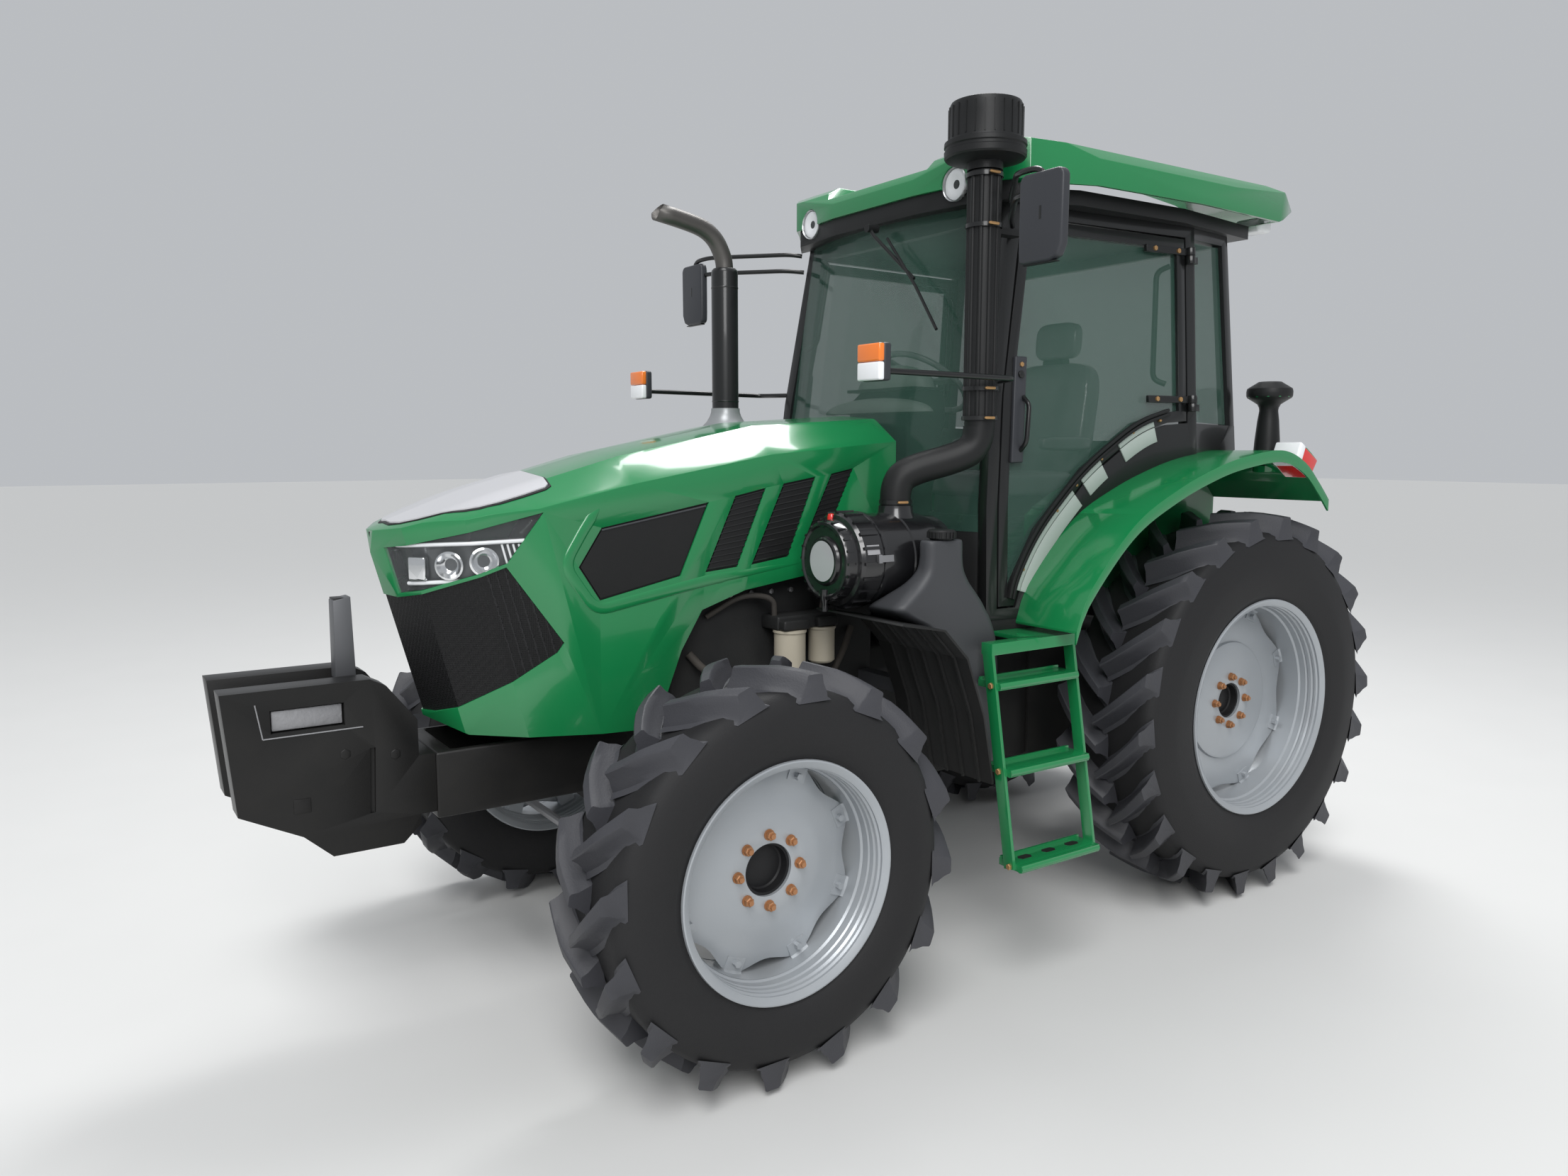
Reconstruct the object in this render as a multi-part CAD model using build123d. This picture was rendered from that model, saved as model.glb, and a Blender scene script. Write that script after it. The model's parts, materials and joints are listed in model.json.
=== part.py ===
"""Four-wheel-drive farm tractor with cab, high-lug paddy tyres and front ballast.

Millimetres. X forward, Y to the tractor's left, Z up, ground at Z = 0.
The origin is on the ground below the middle of the tractor's length.
"""
import os
from math import cos, hypot, radians, sin, tan

from build123d import *

os.makedirs("parts", exist_ok=True)

# ---- Fits
SEAT_GAP = 0.3            # between pieces that rest on each other
PIN_GAP = 0.05            # round a pin that turns in its bore
MOVE_GAP = 6              # between pieces that move past each other

# ---- Wheels
WHEELBASE = 2400
REAR_AXLE_X = -1340
FRONT_AXLE_X = REAR_AXLE_X + WHEELBASE
FRONT = dict(radius=620, track=1780, width=345, rim_radius=359, rim_width=316, lugs=16,
             lug_height=66, disc_offset=30, bore=80, bolt_circle=108, hub_radius=138)
REAR = dict(radius=795, track=1480, width=428, rim_radius=446, rim_width=406, lugs=22,
            lug_height=78, disc_offset=44, bore=74, bolt_circle=102, hub_radius=130)
LUG_THICKNESS = 44        # at the middle of a lug's foot
LUG_ANGLE = 42
LUG_FLARE = 1.3           # outer end's thickness against the middle's
LUG_TAPER = 5             # degrees that a lug's flanks close in towards the crown
SHOULDER_DROP = 21        # how far the lug ends fall below the crown
RIM_SIDES = 32
HUB_SIDES = 16
RIM_WALL = 9
FLANGE_HEIGHT = 24
DISC_WALL = 12
DISC_GAP = 28             # open ring between the disc and the rim
RIM_LUG_WIDTH = 84
RIM_LUGS = 8
HUB_DEPTH = 58
HUB_RECESS = 34
HUB_SHAFT_RADIUS = 45
HUB_SHAFT_LENGTH = 52

# ---- Front axle and steering
KINGPIN_Y = 650
KINGPIN_RADIUS = 22
KNUCKLE_HALF_HEIGHT = 104
FORK_WALL = 30
FORK_HALF_DEPTH = 40
KNUCKLE_RADIUS = 45
BEAM_DEPTH = 150
STEER_ARM = 215
TIE_PIN_RADIUS = 12
TIE_PIN_DROP = 112        # tie rod's height below the axle line
TIE_ROD_RADIUS = 16

# ---- Driveline
ENGINE_REAR_X = 140
ENGINE_FRONT_X = 1010
ENGINE_HALF_WIDTH = 235
ENGINE_LOW_Z = 760
ENGINE_TOP_Z = 1400
GEARBOX_HALF_WIDTH = 190
GEARBOX_LOW_Z = 520
GEARBOX_TOP_Z = 1000
BELL_LENGTH = 130
HOUSING_REAR_X = -1620
HOUSING_FRONT_X = -760
HOUSING_HALF_WIDTH = 200
HOUSING_LOW_Z = 500
HOUSING_TOP_Z = 1040
TRUMPET_RADIUS = 125
FRAME_HALF_WIDTH = 175
FRAME_LOW_Z = FRONT["radius"] + 85
FRAME_TOP_Z = FRAME_LOW_Z + 210
FRAME_FRONT_X = 1800
FRAME_WALL = 30

# ---- Front ballast
BALLAST_FRONT_X = 2390
BALLAST_TOP_Z = 1168
BALLAST_LOW_Z = 648
BALLAST_INNER_Y = 78
BALLAST_OUTER_Y = 172

# ---- Hood
HOOD_HALF_WIDTH = 330
HOOD_WALL = 8
HOOD_REAR_X = 110
NOSE_X = 1925
NOSE_RAKE = 0.264         # how far the nose leans back per unit of height
HINGE_X = 172
HINGE_Z = 1900
HINGE_PIN_RADIUS = 12
HINGE_Y = 196
STACK_X = 562
STACK_Y = -140
STACK_RADIUS = 51         # of the sleeve round the pipe
STACK_PIPE_RADIUS = 33
SLEEVE_TOP_Z = 2514
INSERT_DEPTH = 4          # how far grille, lamps and vents lie under the hood's skin

# ---- Cab
CAB_HALF_WIDTH = 775
SILL_Z = 2 * REAR["radius"] - 350
FLOOR_WALL = 40
B_PILLAR_X = REAR_AXLE_X + 280
CAB_LEAN = 4.0            # degrees that the sides lean in
DOOR_TAPER = 3.8          # degrees that the doors close in towards the front
REAR_TAPER = 7.0          # degrees that the quarter windows close in towards the rear
PILLAR = 46
SIDE_TOP = 1475           # height of the side frames above the sill
DOOR_FRAME = 42
DOOR_WALL = 34
GLASS_WALL = 6
GLASS_DEPTH = 14          # how far the panes lie behind the cab's outer face
DOOR_PIN_RADIUS = 9
DOOR_PIN_Y = 21           # how far the door's pins stand out from the cab's side
HINGE_HEIGHTS = (785, 1360)
SCREEN_LOW_Z = SILL_Z + 310
SCREEN_STEPS = 10
SCREEN_SIDE_X = -25       # windscreen's side edge at its foot
SCREEN_BULGE = 120
SCREEN_RAKE = 0.139
REAR_WALL_X = -1440
REAR_SILL_Z = SILL_Z + 640
LINING_LOW_Z = SILL_Z + 1472
ROOF_LOW_Z = LINING_LOW_Z + 53
FASCIA_LOW_Z = ROOF_LOW_Z + 13
ROOF_WALL = 14
ROOF_FRONT_X = REAR_AXLE_X + 1320
ROOF_REAR_X = REAR_AXLE_X - 400
LAMP_Y = 446
LAMP_Z = ROOF_LOW_Z + 23
LAMP_RADIUS = 60
LAMP_DEPTH = 40           # how far the lamps lie behind the roof's front

# ---- Fenders
FENDER_INNER_Y = (REAR["track"] - REAR["width"]) / 2 - 74
FENDER_OUTER_Y = (REAR["track"] + REAR["width"]) / 2 + 46
FENDER_WALL = 8
FENDER_SKIRT = 46
BEACON_X = -1500          # lamp on a stem behind the cab
ARCH_FRONT_X = -440       # front of the part of the arch that is inside the cab

# ---- Air intake, on the left
AIR_CLEANER_Y = 560
AIR_CLEANER_Z = 1475
AIR_CLEANER_RADIUS = 155
INTAKE_X = 45
INTAKE_Y = 700
INTAKE_RADIUS = 54
INTAKE_TOP_Z = SILL_Z + 1530

# ---- Rear hitch
LINK_PIN_X = -1560
LINK_PIN_Z = 560
LINK_PIN_RADIUS = 14
LINK_FRONT_Y = 262
LINK_END_X = -2350
LINK_END_Y = 400
LINK_END_Z = 500
LINK_BALL_RADIUS = 14.5
LINK_HEIGHT = 70
LINK_WIDTH = 26
ROCKSHAFT_Z = 1085
ROCKSHAFT_RADIUS = 28
ARM_LENGTH = 370
ARM_WIDTH = 24
ARM_PIN_RADIUS = 11
ROD_SHARE = 0.5           # where the lift rod meets the lower link
PTO_RADIUS = 17.5
PTO_Z = 700
DRAWBAR_Z = 430
DRAWBAR_PIN_RADIUS = 16
DRAWBAR_PIN_X = -1900


# ---------------------------------------------------------------- helpers
def block(x, y, z):
    """Box between (low, high) limits on each axis."""
    size = Box(x[1] - x[0], y[1] - y[0], z[1] - z[0])
    return Pos((x[0] + x[1]) / 2, (y[0] + y[1]) / 2, (z[0] + z[1]) / 2) * size


def side_plate(points, y_low, y_high):
    """Outline in (x, z), from y_low to y_high."""
    face = Plane.XZ * Polygon(*points, align=None)
    return Pos(0, y_low, 0) * extrude(face, amount=y_high - y_low, dir=(0, 1, 0))


def top_plate(points, z_low, z_high):
    """Outline in (x, y), from z_low to z_high."""
    face = Polygon(*points, align=None)
    return Pos(0, 0, z_low) * extrude(face, amount=z_high - z_low, dir=(0, 0, 1))


def front_plate(points, x_low, x_high):
    """Outline in (y, z), from x_low to x_high."""
    face = Plane.YZ * Polygon(*points, align=None)
    return Pos(x_low, 0, 0) * extrude(face, amount=x_high - x_low, dir=(1, 0, 0))


def leaning(face, height, lean):
    """Face on level ground raised to a height, moving forward by the lean per unit of height."""
    return extrude(face, amount=height * hypot(1, lean), dir=(lean, 0, 1))


def band(line, wall):
    """Outline of a strip that lies under a line of (x, z) points, drawn rear to front or back."""
    return line + [(x, z - wall) for x, z in reversed(line)]


def rod(start, end, radius, sides=None):
    """Straight bar between two points: round, or with the given number of sides."""
    start, end = Vector(*start), Vector(*end)
    section = RegularPolygon(radius, sides) if sides else Circle(radius)
    place = Plane(origin=start, z_dir=end - start)
    return extrude(place * section, amount=(end - start).length, dir=end - start)


def bar(start, end, along, across):
    """Square-edged bar between two points; its first side lies nearest to X."""
    start, end = Vector(*start), Vector(*end)
    axis = end - start
    place = Plane(origin=start, x_dir=Vector(0, 1, 0).cross(axis), z_dir=axis)
    align = (Align.CENTER, Align.CENTER, Align.MIN)
    return place * Box(along, across, axis.length, align=align)


def tube_run(points, radius, sides):
    """Bent bar with mitred corners."""
    path = Polyline(*points)
    section = Plane(origin=path @ 0, z_dir=path % 0) * RegularPolygon(radius, sides)
    return sweep(section, path=path, transition=Transition.RIGHT)


def other_side(shape):
    """The same piece on the tractor's right."""
    return mirror(shape, about=Plane.XZ)


def pair(shape):
    """A piece with its mirror image."""
    return shape + other_side(shape)


# ---------------------------------------------------------------- wheels
def ring_of_sides(stations, sides):
    """Many-sided solid along Y, with flat faces, through (y, radius) stations from low y to high."""
    turns = [radians(360 * k / sides) for k in range(sides)]
    rings = [[Vector(radius * cos(turn), y, radius * sin(turn)) for turn in turns] for y, radius in stations]
    faces = [Face(Wire.make_polygon(rings[0])), Face(Wire.make_polygon(rings[-1]))]
    for near, far in zip(rings, rings[1:]):
        for k in range(sides):
            after = (k + 1) % sides
            faces.append(Face(Wire.make_polygon([near[k], near[after], far[after], far[k]])))
    return Solid(Shell(faces))


def make_tyre(wheel):
    """Tyre with high chevron lugs, axle along Y, at the origin."""
    radius, half, lugs = wheel["radius"], wheel["width"] / 2, wheel["lugs"]
    carcass = radius - wheel["lug_height"]
    bore = wheel["rim_radius"] - FLANGE_HEIGHT + SEAT_GAP
    seat_half = wheel["rim_width"] / 2 - RIM_WALL - SEAT_GAP
    tip_half = half - 12
    middle = (wheel["rim_radius"] + carcass) / 2
    shoulder_half = half - 24
    body = ring_of_sides([(-seat_half, wheel["rim_radius"] + 8), (-half, middle), (-shoulder_half, carcass),
                          (shoulder_half, carcass), (half, middle), (seat_half, wheel["rim_radius"] + 8)],
                         lugs)
    body -= ring_of_sides([(-half - 1, bore), (half + 1, bore)], RIM_SIDES)
    pitch = 360 / lugs
    sweep_back = tip_half * tan(radians(LUG_ANGLE))
    across = LUG_THICKNESS / cos(radians(LUG_ANGLE)) / 2
    outer = across * LUG_FLARE
    lead = sweep_back / 2
    start = -across
    plan = [(lead - across, start), (lead + across, start), (lead - sweep_back + outer, tip_half + 15),
            (lead - sweep_back - outer, tip_half + 15)]
    crown = (radius ** 2 - (lead + across) ** 2) ** 0.5
    foot = carcass - 75
    left = extrude(Pos(0, 0, foot) * Polygon(*plan, align=None), amount=radius - foot, taper=LUG_TAPER)
    left &= front_plate([(start, carcass - 30), (shoulder_half - 10, carcass - 30), (tip_half, foot),
                         (tip_half, radius - SHOULDER_DROP), (half / 2, radius), (start, crown)], -half, half)
    right = Rot(Y=pitch / 2) * mirror(left, about=Plane.XZ)
    pieces = []
    for index in range(lugs):
        turn = Rot(Y=index * pitch)
        pieces.append(turn * left)
        pieces.append(turn * right)
    return body.fuse(*pieces)


def make_rim(wheel):
    """Rim, disc on welded lugs, and the hub behind it; outer face towards +Y."""
    flange, half = wheel["rim_radius"], wheel["rim_width"] / 2
    seat = flange - FLANGE_HEIGHT
    inside = seat - RIM_WALL
    stations = [(-half, flange), (-half + RIM_WALL, flange), (-half + RIM_WALL, seat),
                (half - RIM_WALL, seat), (half - RIM_WALL, flange), (half, flange)]
    rim = ring_of_sides(stations[0:2], RIM_SIDES)
    rim += ring_of_sides([(-half + RIM_WALL, seat), (half - RIM_WALL, seat)], RIM_SIDES)
    rim += ring_of_sides(stations[4:6], RIM_SIDES)
    rim -= ring_of_sides([(-half - 1, inside), (half + 1, inside)], RIM_SIDES)
    face = wheel["disc_offset"]
    back = face - DISC_WALL
    disc_radius = inside - DISC_GAP
    disc = ring_of_sides([(back, disc_radius), (face, disc_radius)], RIM_SIDES)
    disc -= ring_of_sides([(back - 1, wheel["bore"]), (face + 1, wheel["bore"])], HUB_SIDES)
    pieces = [disc, ring_of_sides([(back - HUB_DEPTH, wheel["hub_radius"]), (back, wheel["hub_radius"])], HUB_SIDES)]
    shaft_start = back - HUB_DEPTH - HUB_SHAFT_LENGTH
    pieces.append(rod((0, shaft_start, 0), (0, back - 1, 0), HUB_SHAFT_RADIUS))
    for index in range(RIM_LUGS):
        lug = block((-RIM_LUG_WIDTH / 2, RIM_LUG_WIDTH / 2), (back, face), (disc_radius - 30, inside + 4))
        pieces.append(Rot(Y=(index + 0.5) * 360 / RIM_LUGS) * lug)
    recess = ring_of_sides([(back - HUB_RECESS, wheel["bore"] - 8), (back + 1, wheel["bore"] - 8)], HUB_SIDES)
    return rim.fuse(*pieces) - recess


def place_wheel(piece, x, wheel):
    """Move a wheel piece from the origin to the left end of its axle."""
    return Pos(x, wheel["track"] / 2, wheel["radius"]) * piece


def hub_back_y(wheel):
    """Where the turning hub ends towards the tractor, on the left."""
    return wheel["track"] / 2 + wheel["disc_offset"] - DISC_WALL - HUB_DEPTH


def hub_bore(x, wheel, start_y):
    """Hole in which the hub's shaft turns, open towards the wheel."""
    z = wheel["radius"]
    return rod((x, start_y, z), (x, hub_back_y(wheel) + 1, z), HUB_SHAFT_RADIUS + PIN_GAP)


# ---------------------------------------------------------------- front axle
def make_front_axle():
    x, z = FRONT_AXLE_X, FRONT["radius"]
    fork_z = KNUCKLE_HALF_HEIGHT + MOVE_GAP
    inner_y = KINGPIN_Y - KNUCKLE_RADIUS - MOVE_GAP
    outline = [(-inner_y, z - 60), (-230, z - 78), (-120, z - 125), (120, z - 125), (230, z - 78),
               (inner_y, z - 60), (inner_y, z + 52), (200, z + 70), (-200, z + 70), (-inner_y, z + 52)]
    beam = front_plate(outline, x - BEAM_DEPTH / 2, x + BEAM_DEPTH / 2)
    pivot = block((x - 120, x + 120), (-70, 70), (z + 20, FRAME_LOW_Z - SEAT_GAP))
    deep = (x - FORK_HALF_DEPTH, x + FORK_HALF_DEPTH)
    fork = block(deep, (inner_y - 30, inner_y), (z - fork_z - FORK_WALL, z + fork_z + FORK_WALL))
    for side in (-1, 1):
        low, high = sorted((side * fork_z, side * (fork_z + FORK_WALL)))
        fork += block(deep, (inner_y - 5, KINGPIN_Y + 30), (z + low, z + high))
        pin_end = z + side * (fork_z - MOVE_GAP - 26)
        fork += rod((x, KINGPIN_Y, z + side * fork_z), (x, KINGPIN_Y, pin_end), KINGPIN_RADIUS)
    shaft = rod((ENGINE_REAR_X + SEAT_GAP, 0, z + 15), (x - 40, 0, z + 15), 42, 12)
    return beam + pivot + shaft + pair(fork)


def make_knuckle():
    """Left steering knuckle, turning on the kingpins."""
    x, z = FRONT_AXLE_X, FRONT["radius"]
    tall = KNUCKLE_HALF_HEIGHT
    hub_y = hub_back_y(FRONT) - MOVE_GAP
    post = rod((x, KINGPIN_Y, z - tall), (x, KINGPIN_Y, z + tall), KNUCKLE_RADIUS, HUB_SIDES)
    neck = rod((x, KINGPIN_Y, z), (x, KINGPIN_Y + 80, z), 60, HUB_SIDES)
    housing = rod((x, KINGPIN_Y + 75, z), (x, hub_y, z), FRONT["hub_radius"] + 14, HUB_SIDES)
    arm_x, arm_z = x + STEER_ARM, z - 80
    arm = bar((x + 20, KINGPIN_Y + 14, arm_z), (arm_x, KINGPIN_Y, arm_z), 28, 40)
    arm += rod((arm_x, KINGPIN_Y, arm_z - 14), (arm_x, KINGPIN_Y, arm_z + 14), 26, 16)
    pin = rod((arm_x, KINGPIN_Y, z - TIE_PIN_DROP - 14), (arm_x, KINGPIN_Y, arm_z), TIE_PIN_RADIUS)
    knuckle = post + neck + housing + arm + pin
    for side in (-1, 1):
        mouth = (x, KINGPIN_Y, z + side * (tall + 1))
        knuckle -= rod((x, KINGPIN_Y, z + side * (tall - 30)), mouth, KINGPIN_RADIUS + PIN_GAP)
    return knuckle - hub_bore(x, FRONT, hub_back_y(FRONT) - HUB_SHAFT_LENGTH - 4)


def make_tie_rod():
    """Runs from the left steering arm to just short of the right one's pin."""
    x, z = FRONT_AXLE_X + STEER_ARM, FRONT["radius"] - TIE_PIN_DROP
    tie = rod((x, -KINGPIN_Y + 44, z), (x, KINGPIN_Y - 20, z), TIE_ROD_RADIUS, 12)
    tie += rod((x, KINGPIN_Y, z - 13), (x, KINGPIN_Y, z + 13), 28, 12)
    return tie - rod((x, KINGPIN_Y, z - 20), (x, KINGPIN_Y, z + 20), TIE_PIN_RADIUS + PIN_GAP)


# ---------------------------------------------------------------- driveline
def make_engine():
    return block((ENGINE_REAR_X + SEAT_GAP, ENGINE_FRONT_X), (-ENGINE_HALF_WIDTH, ENGINE_HALF_WIDTH),
                 (ENGINE_LOW_Z, ENGINE_TOP_Z))


def make_gearbox():
    half = GEARBOX_HALF_WIDTH
    body = block((HOUSING_FRONT_X + SEAT_GAP, ENGINE_REAR_X - 20), (-half, half), (GEARBOX_LOW_Z, GEARBOX_TOP_Z))
    x_low = ENGINE_REAR_X - BELL_LENGTH
    outline = [(-half, 560), (half, 560), (ENGINE_HALF_WIDTH, 700), (ENGINE_HALF_WIDTH, 1000),
               (half, 1080), (-half, 1080), (-ENGINE_HALF_WIDTH, 1000), (-ENGINE_HALF_WIDTH, 700)]
    return body + front_plate(outline, x_low, ENGINE_REAR_X)


def make_rear_housing():
    """Rear axle housing with trumpets, hitch pins, PTO shaft and drawbar."""
    half = HOUSING_HALF_WIDTH
    body = block((HOUSING_REAR_X, HOUSING_FRONT_X), (-half, half), (HOUSING_LOW_Z, HOUSING_TOP_Z))
    body += block((HOUSING_REAR_X, -1470), (-half, half), (HOUSING_TOP_Z - 5, ROCKSHAFT_Z + 55))
    z = REAR["radius"]
    end_y = hub_back_y(REAR) - MOVE_GAP
    trumpet = rod((REAR_AXLE_X, half - 10, z), (REAR_AXLE_X, end_y - 60, z), TRUMPET_RADIUS, HUB_SIDES)
    trumpet += rod((REAR_AXLE_X, end_y - 70, z), (REAR_AXLE_X, end_y, z), TRUMPET_RADIUS + 30, HUB_SIDES)
    trumpet -= hub_bore(REAR_AXLE_X, REAR, hub_back_y(REAR) - HUB_SHAFT_LENGTH - 4)
    pin_end = LINK_FRONT_Y + LINK_WIDTH / 2 + 8
    hitch = rod((LINK_PIN_X, half - 5, LINK_PIN_Z), (LINK_PIN_X, pin_end, LINK_PIN_Z), LINK_PIN_RADIUS)
    hitch += rod((LINK_PIN_X, half - 5, ROCKSHAFT_Z), (LINK_PIN_X, pin_end + 10, ROCKSHAFT_Z), ROCKSHAFT_RADIUS)
    body += pair(trumpet + hitch)
    body += rod((HOUSING_REAR_X + 5, 0, PTO_Z), (HOUSING_REAR_X - 85, 0, PTO_Z), PTO_RADIUS)
    guard = front_plate([(-120, 700), (-120, 820), (120, 820), (120, 700), (112, 700), (112, 812),
                         (-112, 812), (-112, 700)], HOUSING_REAR_X - 110, HOUSING_REAR_X + 5)
    bracket = block((HOUSING_REAR_X - 60, HOUSING_REAR_X + 5), (-42, -26), (900, 1000))
    bracket += block((HOUSING_REAR_X - 60, HOUSING_REAR_X + 5), (26, 42), (900, 1000))
    bracket -= rod((HOUSING_REAR_X - 35, -50, 955), (HOUSING_REAR_X - 35, 50, 955), 12.8)
    drawbar = block((DRAWBAR_PIN_X - 40, -1300), (-40, 40), (DRAWBAR_Z - 18, DRAWBAR_Z + 18))
    drawbar += block((-1600, -1560), (-60, 60), (DRAWBAR_Z - 26, HOUSING_LOW_Z + 5))
    drawbar += block((-1340, -1300), (-60, 60), (DRAWBAR_Z - 26, HOUSING_LOW_Z + 5))
    drawbar -= rod((DRAWBAR_PIN_X, 0, DRAWBAR_Z - 30), (DRAWBAR_PIN_X, 0, DRAWBAR_Z + 30), DRAWBAR_PIN_RADIUS)
    return body + guard + bracket + drawbar


def make_front_frame():
    """Cast frame from the bell housing forward, over the axle, to the ballast."""
    half = FRAME_HALF_WIDTH
    engine_foot = ENGINE_LOW_Z - SEAT_GAP
    outline = [(ENGINE_REAR_X + SEAT_GAP, FRAME_LOW_Z), (FRAME_FRONT_X, FRAME_LOW_Z),
               (FRAME_FRONT_X, FRAME_TOP_Z), (ENGINE_FRONT_X + 40, FRAME_TOP_Z),
               (ENGINE_FRONT_X + 20, engine_foot), (ENGINE_REAR_X + SEAT_GAP, engine_foot)]
    frame = side_plate(outline, -half, half)
    pocket = half - FRAME_WALL
    frame -= block((ENGINE_FRONT_X + 100, FRAME_FRONT_X - 60), (-pocket, pocket),
                   (FRAME_LOW_Z + FRAME_WALL, FRAME_TOP_Z + 10))
    return frame


def make_ballast():
    """Two cast plates on a hanger, with their lifting lug."""
    rear_x = FRAME_FRONT_X + SEAT_GAP
    low, top = BALLAST_LOW_Z, BALLAST_TOP_Z
    outline = [(BALLAST_FRONT_X, top), (1985, top), (1938, top - 25), (1850, top - 140), (1850, 700),
               (1905, low), (2110, low), (2190, low + 75), (BALLAST_FRONT_X - 30, 812)]
    plate = side_plate(outline, BALLAST_INNER_Y, BALLAST_OUTER_Y)
    plate -= block((2060, 2262), (BALLAST_OUTER_Y - 30, BALLAST_OUTER_Y + 1), (1040, 1108))
    plate -= side_plate([(1985, 760), (2000, 760), (1992, 960), (1977, 960)],
                        BALLAST_OUTER_Y - 12, BALLAST_OUTER_Y + 1)
    web = block((1840, 2330), (-BALLAST_INNER_Y - 1, BALLAST_INNER_Y + 1), (790, 900))
    hanger = block((rear_x, 1860), (-BALLAST_OUTER_Y, BALLAST_OUTER_Y), (730, FRAME_TOP_Z))
    lug = side_plate([(1985, 890), (2055, 890), (2045, 1398), (1998, 1398)], -28, 28)
    return pair(plate) + web + hanger + lug


# ---------------------------------------------------------------- hood
HOOD_SIDE = [(HOOD_REAR_X, 2000), (NOSE_X + 20, 2000), (NOSE_X + 20, 1000), (1786, 1000), (1690, 955),
             (1120, 930), (1020, 1180), (940, 1310), (770, 1365), (370, 1420), (HOOD_REAR_X, 1420)]
HOOD_CREST = [(HOOD_REAR_X, 1872, 1958, 1972), (660, 1826, 1926, 1940), (1180, 1736, 1822, 1838),
              (1640, 1637, 1694, 1712), (NOSE_X, 1560, 1590, 1602)]


def hood_form(inset, low_z):
    """Solid form of the hood, with its skin drawn in by the inset, down to low_z."""
    half = HOOD_HALF_WIDTH - inset
    nose = NOSE_X - inset * 1.5
    plan = [(0, -half), (1470, -half), (1690, -half * 0.84), (1850 - inset, -half * 0.48), (nose, 0),
            (1850 - inset, half * 0.48), (1690, half * 0.84), (1470, half), (0, half)]
    height = 1530 - low_z
    foot = Pos(-height * NOSE_RAKE, 0, low_z) * Polygon(*plan, align=None)
    body = leaning(foot, 2000 - low_z, NOSE_RAKE)
    sections = []
    for x, crease, shoulder, top in HOOD_CREST:
        outline = [(-400, low_z), (400, low_z), (400, crease - inset - 25), (half, crease - inset),
                   (200, shoulder - inset), (0, top - inset), (-200, shoulder - inset),
                   (-half, crease - inset), (-400, crease - inset - 25)]
        sections.append(Plane(origin=(x, 0, 0), x_dir=(0, 1, 0), z_dir=(1, 0, 0)) * Polygon(*outline, align=None))
    return body & loft(sections, ruled=True)


def skin_band(depth, wall):
    """The layer of the hood's skin between two depths, for what is let into it."""
    return hood_form(depth, 950) - hood_form(depth + wall, 930)


GRILLE_SIDE = [(2000, 1425), (1862, 1392), (1600, 1490), (1430, 1245), (1450, 1215), (1760, 1020), (2000, 1010)]
LAMP_SIDE = [(1490, 1655), (1596, 1502), (1862, 1404), (2000, 1436), (2000, 1548), (1900, 1548)]
VENT_SIDE = [(1380, 1480), (1300, 1600), (910, 1670), (1020, 1430), (1310, 1370)]
LOUVRES = [[(684, 1713), (807, 1688), (926, 1436), (801, 1447)],
           [(475, 1748), (611, 1726), (744, 1451), (591, 1471)],
           [(308, 1776), (406, 1757), (520, 1530), (420, 1545)]]


def inset_plate(outline, inset, y_low, y_high):
    """Plate from an (x, z) outline that is drawn in by a margin."""
    face = offset(Plane.XZ * Polygon(*outline, align=None), amount=-inset, kind=Kind.INTERSECTION)
    return Pos(0, y_low, 0) * extrude(face, amount=y_high - y_low, dir=(0, 1, 0))


def make_hood():
    skin = hood_form(0, 900) - hood_form(HOOD_WALL, 850)
    skin &= side_plate(HOOD_SIDE, -400, 400)
    skin -= side_plate(GRILLE_SIDE, -400, 400)
    openings = side_plate(LAMP_SIDE, 62, 400)
    for outline in [VENT_SIDE] + LOUVRES:
        openings += side_plate(outline, HOOD_HALF_WIDTH - 60, 400)
    skin -= pair(openings)
    skin -= rod((STACK_X, STACK_Y, 1800), (STACK_X, STACK_Y, 2000), STACK_RADIUS + 12, 24)
    ear = block((HINGE_X - 25, HINGE_X + 25), (HINGE_Y + MOVE_GAP, HINGE_Y + MOVE_GAP + 12),
                (HINGE_Z - 22, HINGE_Z + 43))
    ear -= rod((HINGE_X, 0, HINGE_Z), (HINGE_X, 400, HINGE_Z), HINGE_PIN_RADIUS + PIN_GAP)
    return skin + pair(ear)


def make_grille():
    return skin_band(INSERT_DEPTH, 18) & inset_plate(GRILLE_SIDE, SEAT_GAP, -400, 400)


def make_headlamp():
    return skin_band(INSERT_DEPTH / 2, 30) & inset_plate(LAMP_SIDE, SEAT_GAP, 62 + SEAT_GAP, 400)


def make_vents():
    """Backing panel behind the left side's vent and louvres, with one slat between each."""
    outer = HOOD_HALF_WIDTH - HOOD_WALL - SEAT_GAP
    outline = [(1395, 1480), (1310, 1620), (900, 1700), (300, 1800), (405, 1520), (740, 1425), (1315, 1352)]
    panel = side_plate(outline, outer - 5, outer)
    for opening in [VENT_SIDE] + LOUVRES:
        panel += inset_plate(opening, 6, outer - 1, outer + HOOD_WALL - INSERT_DEPTH / 2)
    return panel


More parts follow.
